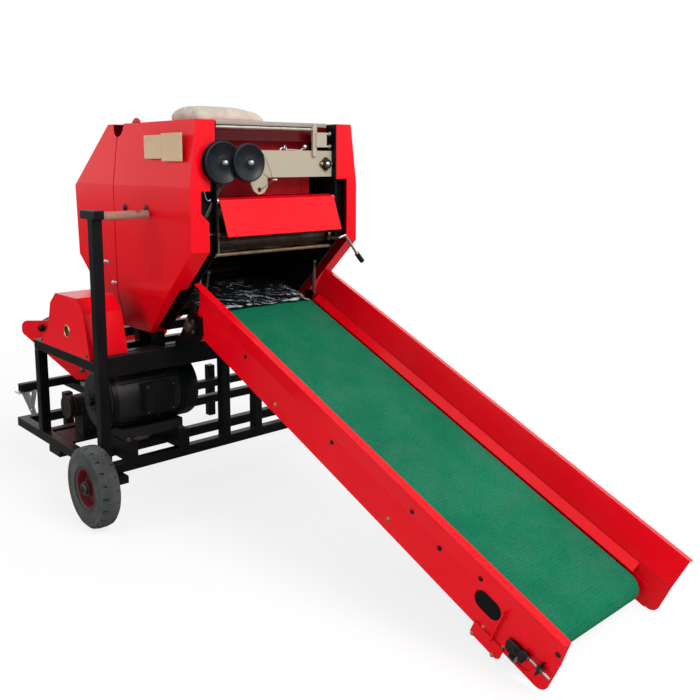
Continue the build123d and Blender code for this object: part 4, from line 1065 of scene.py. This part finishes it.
class BALER_OT_front(bpy.types.Operator):
    """Fits the twine drums, beam, hood, lever and crank at the front of the chamber"""

    bl_idname = "baler.front"
    bl_label = "Front fittings"

    def execute(self, context):
        for name, y, x, r in (("drum_left", -275, 30, 0.077), ("drum_right", -178, 52, 0.069)):
            face = turned(name + "_face", [(r - 0.001, 0), (r - 0.001, 0.0015), (r - 0.005, 0.0022),
                                           (r - 0.008, 0.0006), (r * 0.34, 0.0006), (r * 0.32, 0.002),
                                           (r * 0.24, 0.0024), (r * 0.22, 0.0014), (0.004, 0.0014)], vertices=72)
            fit(stand(face, at(x, y, 1336), (1, 0, 0)), name, "black_plastic")
            hub = bolt(name + "_bolt", 0.005)
            fit(stand(hub, at(x + 16, y, 1336), (1, 0, 0), 0.4), "machine", "zinc")
        gold = [(at(-15, 226, 1330), (1, 0, 0), 0.2), (at(-15, 273, 1330), (1, 0, 0), 0.6),
                (at(-36, -358, 1147), (1, 0, 0), 0.1), (at(-30, 279, 1048), (1, 0, 0), 0.1)]
        fit(spread_out(bolt("gold", 0.0048), gold, "front_gold_bolts"), "machine", "yellow_zinc")
        bright = [(at(-6, 250, 1330), (1, 0, 0), 0.2), (at(-19, 268, 1448), (0, 1, 0), 0.2),
                  (at(-19, 268, 1399), (0, 1, 0), 0.5), (at(-36, -277, 1000), (1, 0, 0), 0.1),
                  (at(-8, -278, 1198), (1, 0, 0), 0.4), (at(-8, 278, 1198), (1, 0, 0), 0.4)]
        fit(spread_out(bolt("bright", 0.0056), bright, "front_bright_bolts"), "machine", "zinc")
        ring = add("torus", "ring", major_radius=0.0105, minor_radius=0.0018, major_segments=32, minor_segments=10)
        stand(ring, at(-28, 51, 1391), (0.8, 0.5, 0.2))
        guide = wire("guide", [at(-28, 22, 1376), at(-28, 26, 1389), at(-27, 40, 1393), at(-27, 51, 1381),
                               at(-28, 62, 1386), at(-28, 110, 1384), at(-28, 182, 1377)], 0.0022)
        knob = turned("knob", [(0.004, 0), (0.0075, 0.003), (0.0085, 0.008), (0.0075, 0.013), (0.004, 0.016)],
                      vertices=20)
        stand(knob, at(-29, 143, 1390), (0.2, 0.6, 0.8))
        loop = wire("loop", [at(-30, 150, 1400), at(-29, 138, 1388), at(-28, 120, 1381), at(-28, 100, 1384)], 0.002)
        fit(join([ring, guide, knob, loop], "beam_guides"), "machine", "zinc", 50)
        eyelet = turned("eyelet", [(0.0022, 0), (0.0042, 0.001), (0.0036, 0.004), (0.0036, 0.02), (0.0044, 0.023),
                                   (0.0022, 0.024)], vertices=16)
        stand(eyelet, at(-12, -30, 1271), (0, 1, 0))
        hook = wire("hook", [at(-27, -322, 1234), at(-27, -320, 1216), at(-26, -312, 1202), at(-26, -302, 1198),
                             at(-26, -298, 1206)], 0.0024)
        pin = turned("pin", [(0.003, 0), (0.0034, 0.001), (0.0034, 0.026), (0.0026, 0.028)], vertices=12)
        stand(pin, at(-30, -290, 1077), (0, -1, 0))
        fit(join([eyelet, hook, pin], "front_hooks"), "machine", "zinc", 50)
        strings = [wire("string_a", [at(40, -110, 1372), at(24, -70, 1330), at(-10, -24, 1271)], 0.0009),
                   wire("string_b", [at(42, -108, 1296), at(10, -66, 1280), at(-10, -24, 1271)], 0.0009),
                   wire("string_c", [at(-10, -24, 1271), at(-12, -52, 1250), at(-14, -82, 1235)], 0.0012)]
        fit(join(strings, "twine_wires"), "machine", "worn_steel", 60)
        lever = strut("lever", at(-30, -243, 1263), at(-30, -318, 1140), 0.006, 0.015, 0.002)
        pivot = stand(bolt("lever_bolt", 0.008), at(-27, -247, 1256), (1, 0, 0))
        fit(join([lever, pivot], "twine_lever"), "machine", "worn_steel")
        arm = turned("arm", [(0.0045, 0), (0.005, 0.002), (0.005, 0.022), (0.009, 0.026), (0.0105, 0.032),
                             (0.009, 0.038), (0.004, 0.041)], vertices=20)
        stand(arm, at(-36, -258, 1155), (0, 1, 0))
        collar = turned("collar", [(0.008, 0), (0.0095, 0.001), (0.0095, 0.011), (0.008, 0.012)], vertices=20)
        stand(collar, at(-36, -262, 1070), (0, 0, 1))
        fit(join([arm, collar], "guide_knob"), "machine", "yellow_zinc")
        grip = turned("grip", [(0.0098, 0), (0.0106, 0.001)]
                      + [(0.0106 - 0.0009 * (i % 2), 0.001 + 0.0035 * i) for i in range(1, 13)]
                      + [(0.0106, 0.046), (0.0085, 0.0485)], vertices=24)
        along = (at(40, 359, 976) - at(40, 399, 932)).normalized()
        stand(grip, at(40, 399, 932) - along * 0.0006, along)
        fit(grip, "machine", "black_plastic")
        grip.name = "crank_grip"
        for side, name in ((-1, "near"), (1, "far")):
            rod = wire("rod", [at(-104, side * 262, 925), at(-112, side * 263, 890), at(-118, side * 266, 850),
                               at(-128, side * 274, 800)], 0.0042)
            ball = turned("ball", [(0.003, 0), (0.007, 0.003), (0.0085, 0.008), (0.007, 0.013), (0.003, 0.016)],
                          vertices=20)
            stand(ball, at(-104, side * 262, 920), (0, 0, 1))
            fit(join([rod, ball], "link_rod_" + name), "machine", "worn_steel", 50)
        return {"FINISHED"}


class BALER_OT_covers(bpy.types.Operator):
    """Fits latches, plugs, hinge caps, sills, blank plates, the roof strip, the guard's ring and the door handle"""

    bl_idname = "baler.covers"
    bl_label = "Cover fittings"

    def execute(self, context):
        for side, name in ((-1, "near"), (1, "far")):
            for x, z in ((-650, 932), (-588, 851)):
                latch = plate("latch", (0.034, 0.004, 0.012), at(x, side * 402, z), 0.0015, 2)
                head = stand(bolt("latch_bolt", 0.0055), at(x - 8, side * 404, z), (0, side, 0))
                fit(join([latch, head], "latch_%s_%d" % (name, -x)), "rear_door", "zinc")
            plug = turned("plug", [(0.0125, -0.001), (0.0135, 0.002), (0.0125, 0.005), (0.0085, 0.0075),
                                   (0.003, 0.0085)], vertices=28)
            places = [(at(x, side * 400, z), (0, side, 0), 0) for x, z in ((-474, 1162), (-309, 1164))]
            fit(spread_out(plug, places, "cover_plugs_" + name), "machine", "black_plastic")
            cap = turned("cap", [(0.021, 0), (0.022, 0.001), (0.022, 0.003), (0.0125, 0.003), (0.013, 0.004),
                                 (0.013, 0.01), (0.0115, 0.012), (0.004, 0.0125)], vertices=32)
            stand(cap, at(-565, side * 297, 1478), (0, side, 0))
            fit(cap, "machine", "worn_steel")
            cap.name = "hinge_cap_" + name
        sills = [plate("sill", (0.15, 0.005, 0.058), at(-463, side * 296, 637), 0.0015, 2) for side in (-1, 1)]
        sills += [plate("gusset", (0.058, 0.004, 0.058), at(-173, side * 290.5, 772), 0.0015, 2) for side in (-1, 1)]
        fit(join(sills, "chamber_sills"), "machine", "frame_black")
        blanks = []
        for x, z, wide, tall in ((-246, 1393, 0.124, 0.086), (-112, 1391, 0.142, 0.1)):
            blank = plate("blank", (wide, 0.0016, tall), at(x, -400.6, z), 0.0006, 2)
            press(blank, (0, -1, 0), (0.004, 0), (0.001, -0.0004))
            blanks.append(blank)
        fit(join(blanks, "blank_plates"), "machine", "tan_plate")
        rivet = turned("rivet", [(0.0026, 0), (0.0026, 0.0006), (0.0018, 0.0014), (0.0006, 0.0017)], vertices=16)
        places = [(at(x, -401.2, z), (0, -1, 0), 0) for x in (-302, -190, -177, -47) for z in (1356, 1430)]
        fit(spread_out(rivet, places, "blank_plate_rivets"), "machine", "zinc")
        strip = plate("strip", (0.024, 0.568, 0.003), at(-68, 0, 1488.5), 0.0008, 2)
        lip = plate("lip", (0.003, 0.568, 0.016), at(-55.5, 0, 1482), 0.0008, 2)
        fit(join([strip, lip], "roof_strip"), "machine", "roof_grey")
        ring = add("torus", "ring", major_radius=0.0225, minor_radius=0.003, major_segments=40, minor_segments=10)
        stand(ring, at(DRIVE_X, -643, DRIVE_Z), (0, -1, 0))
        fit(ring, "machine", "yellow_zinc")
        ring.name = "guard_ring"
        stub = turned("guard_shaft", [(0.016, 0), (0.017, 0.001), (0.017, 0.03), (0.0155, 0.032), (0.006, 0.032),
                                      (0.005, 0.029), (0.001, 0.028)], vertices=32)
        fit(stand(stub, at(DRIVE_X, -608, DRIVE_Z), (0, -1, 0)), "machine", "worn_steel")
        screw = bolt("guard_screw", 0.005)
        places = [(at(x, -482, 812), (0, 1, 0), 0.3) for x in (-600, -450)]
        places += [(at(x, -643, 620), (0, -1, 0), 0.3) for x in (-770, -360)]
        fit(spread_out(screw, places, "guard_screws"), "machine", "worn_steel")
        handle = wire("handle", [at(-917, -70, 1120), at(-921, -70, 1120), at(-952, -70, 1118), at(-960, -62, 1118),
                                 at(-960, 62, 1118), at(-952, 70, 1118), at(-921, 70, 1120), at(-917, 70, 1120)],
                      0.006, vertices=12)
        pads = [plate("pad_" + str(y), (0.004, 0.03, 0.046), at(-915, y, 1120), 0.0015, 2) for y in (-70, 70)]
        fit(join([handle, *pads], "door_handle"), "rear_door", "frame_black", 50)
        return {"FINISHED"}


class BALER_OT_table(bpy.types.Operator):
    """Fits the nuts and the slewing ring of the wrapping turntable"""

    bl_idname = "baler.table"
    bl_label = "Turntable fittings"

    def execute(self, context):
        along = Vector((math.cos(TABLE_TURN), math.sin(TABLE_TURN), 0))
        across = Vector((-math.sin(TABLE_TURN), math.cos(TABLE_TURN), 0))
        centre = at(TABLE_X, 0, 0)
        for name, half, spots, out, z, finish in (
            ("roller_nut", 0.011, (-0.255, 0.255), 0.304, 0.536, "frame_black"),
            ("cheek_bolt", 0.008, (-0.07, 0.0, 0.07), 0.295, 0.322, "worn_steel"),
        ):
            places = []
            for x in spots:
                for side in (-1, 1):
                    place = centre + along * x + across * (side * out) + Vector((0, 0, z))
                    places.append((place, tuple(across * side), 0.3))
            fit(spread_out(bolt(name, half), places, name + "s"), "turntable", finish)
        ring = turned("slew_ring", [(0.132, 0), (0.136, 0.002), (0.136, 0.01), (0.13, 0.012), (0.128, 0.02),
                                    (0.122, 0.022)], vertices=72)
        stand(ring, centre + Vector((0, 0, 0.241)), (0, 0, 1))
        fit(ring, "turntable", "worn_steel")
        return {"FINISHED"}


class BALER_OT_outrigger(bpy.types.Operator):
    """Fits the wrapper's outrigger: a bar under the turntable and the forked leg that it stands on"""

    bl_idname = "baler.outrigger"
    bl_label = "Wrapper outrigger"

    def execute(self, context):
        foot = 208
        top = min(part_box("table_frame")[0].z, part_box("table_cheeks")[0].z) - 0.006
        tall = min(0.04, top - foot / 1000)
        if tall < 0.015:
            raise RuntimeError("no room for the outrigger under the turntable")
        bar = plate("outrigger", (0.04, 0.313, tall), at(-1500, -321.5, foot + tall * 500), 0.004, 3)
        press(bar, (0, -1, 0), (0.003, 0), (0.001, -0.02))
        fit(bar, "machine", "frame_black")
        parts = [plate("pad", (0.06, 0.07, 0.005), at(-1500, -458, 205.5), 0.0015, 2),
                 plate("foot", (0.09, 0.07, 0.006), at(-1500, -388, 3), 0.002, 2)]
        for (y, z), (low_y, low_z), x in (((-460, 203), (-388, 6), -1490), ((-440, 203), (-388, 6), -1512),
                                          ((-402, 207), (-424, 104), -1500)):
            parts.append(strut("strut", at(x, y, z), at(x, low_y, low_z), 0.007, 0.024, 0.0012))
        pin = turned("leg_pin", [(0.009, 0), (0.01, 0.001), (0.01, 0.006), (0.006, 0.006), (0.006, 0.04),
                                 (0.0055, 0.041)], vertices=24)
        parts.append(stand(pin, at(-1482, -424, 104), (-1, 0, 0)))
        fit(join(parts, "outrigger_leg"), "machine", "zinc")
        return {"FINISHED"}


class BALER_PT_panel(bpy.types.Panel):
    """Lists the steps that dress the baler"""

    bl_label = "Baler"
    bl_idname = "BALER_PT_panel"
    bl_space_type = "VIEW_3D"
    bl_region_type = "UI"
    bl_category = "Baler"

    def draw(self, context):
        for step in STEPS:
            self.layout.operator(step.bl_idname)
        for settings in (context.scene.baler_paint, context.scene.baler_fittings, context.scene.baler_stage):
            for key in settings.bl_rna.properties.keys():
                if key not in ("rna_type", "name"):
                    self.layout.prop(settings, key)


STEPS = [BALER_OT_stage, BALER_OT_finishes, BALER_OT_sack, BALER_OT_film, BALER_OT_motor, BALER_OT_conveyor,
         BALER_OT_wheels, BALER_OT_front, BALER_OT_covers, BALER_OT_table, BALER_OT_outrigger]
CLASSES = [PaintSettings, FittingSettings, StageSettings, *STEPS, BALER_PT_panel]


def register():
    """Registers the classes and hangs the settings on the scene."""
    for kind in CLASSES:
        bpy.utils.register_class(kind)
    bpy.types.Scene.baler_paint = PointerProperty(type=PaintSettings)
    bpy.types.Scene.baler_fittings = PointerProperty(type=FittingSettings)
    bpy.types.Scene.baler_stage = PointerProperty(type=StageSettings)


def unregister():
    """Takes the settings off the scene and unregisters the classes."""
    del bpy.types.Scene.baler_stage
    del bpy.types.Scene.baler_fittings
    del bpy.types.Scene.baler_paint
    for kind in reversed(CLASSES):
        bpy.utils.unregister_class(kind)


def main():
    """Runs every step in order."""
    register()
    bpy.ops.baler.stage()
    bpy.ops.baler.finishes()
    bpy.ops.baler.sack()
    bpy.ops.baler.film()
    bpy.ops.baler.motor()
    bpy.ops.baler.conveyor()
    bpy.ops.baler.wheels()
    bpy.ops.baler.front()
    bpy.ops.baler.covers()
    bpy.ops.baler.table()
    bpy.ops.baler.outrigger()
    bpy.context.view_layer.update()


if __name__ == "__main__":
    main()
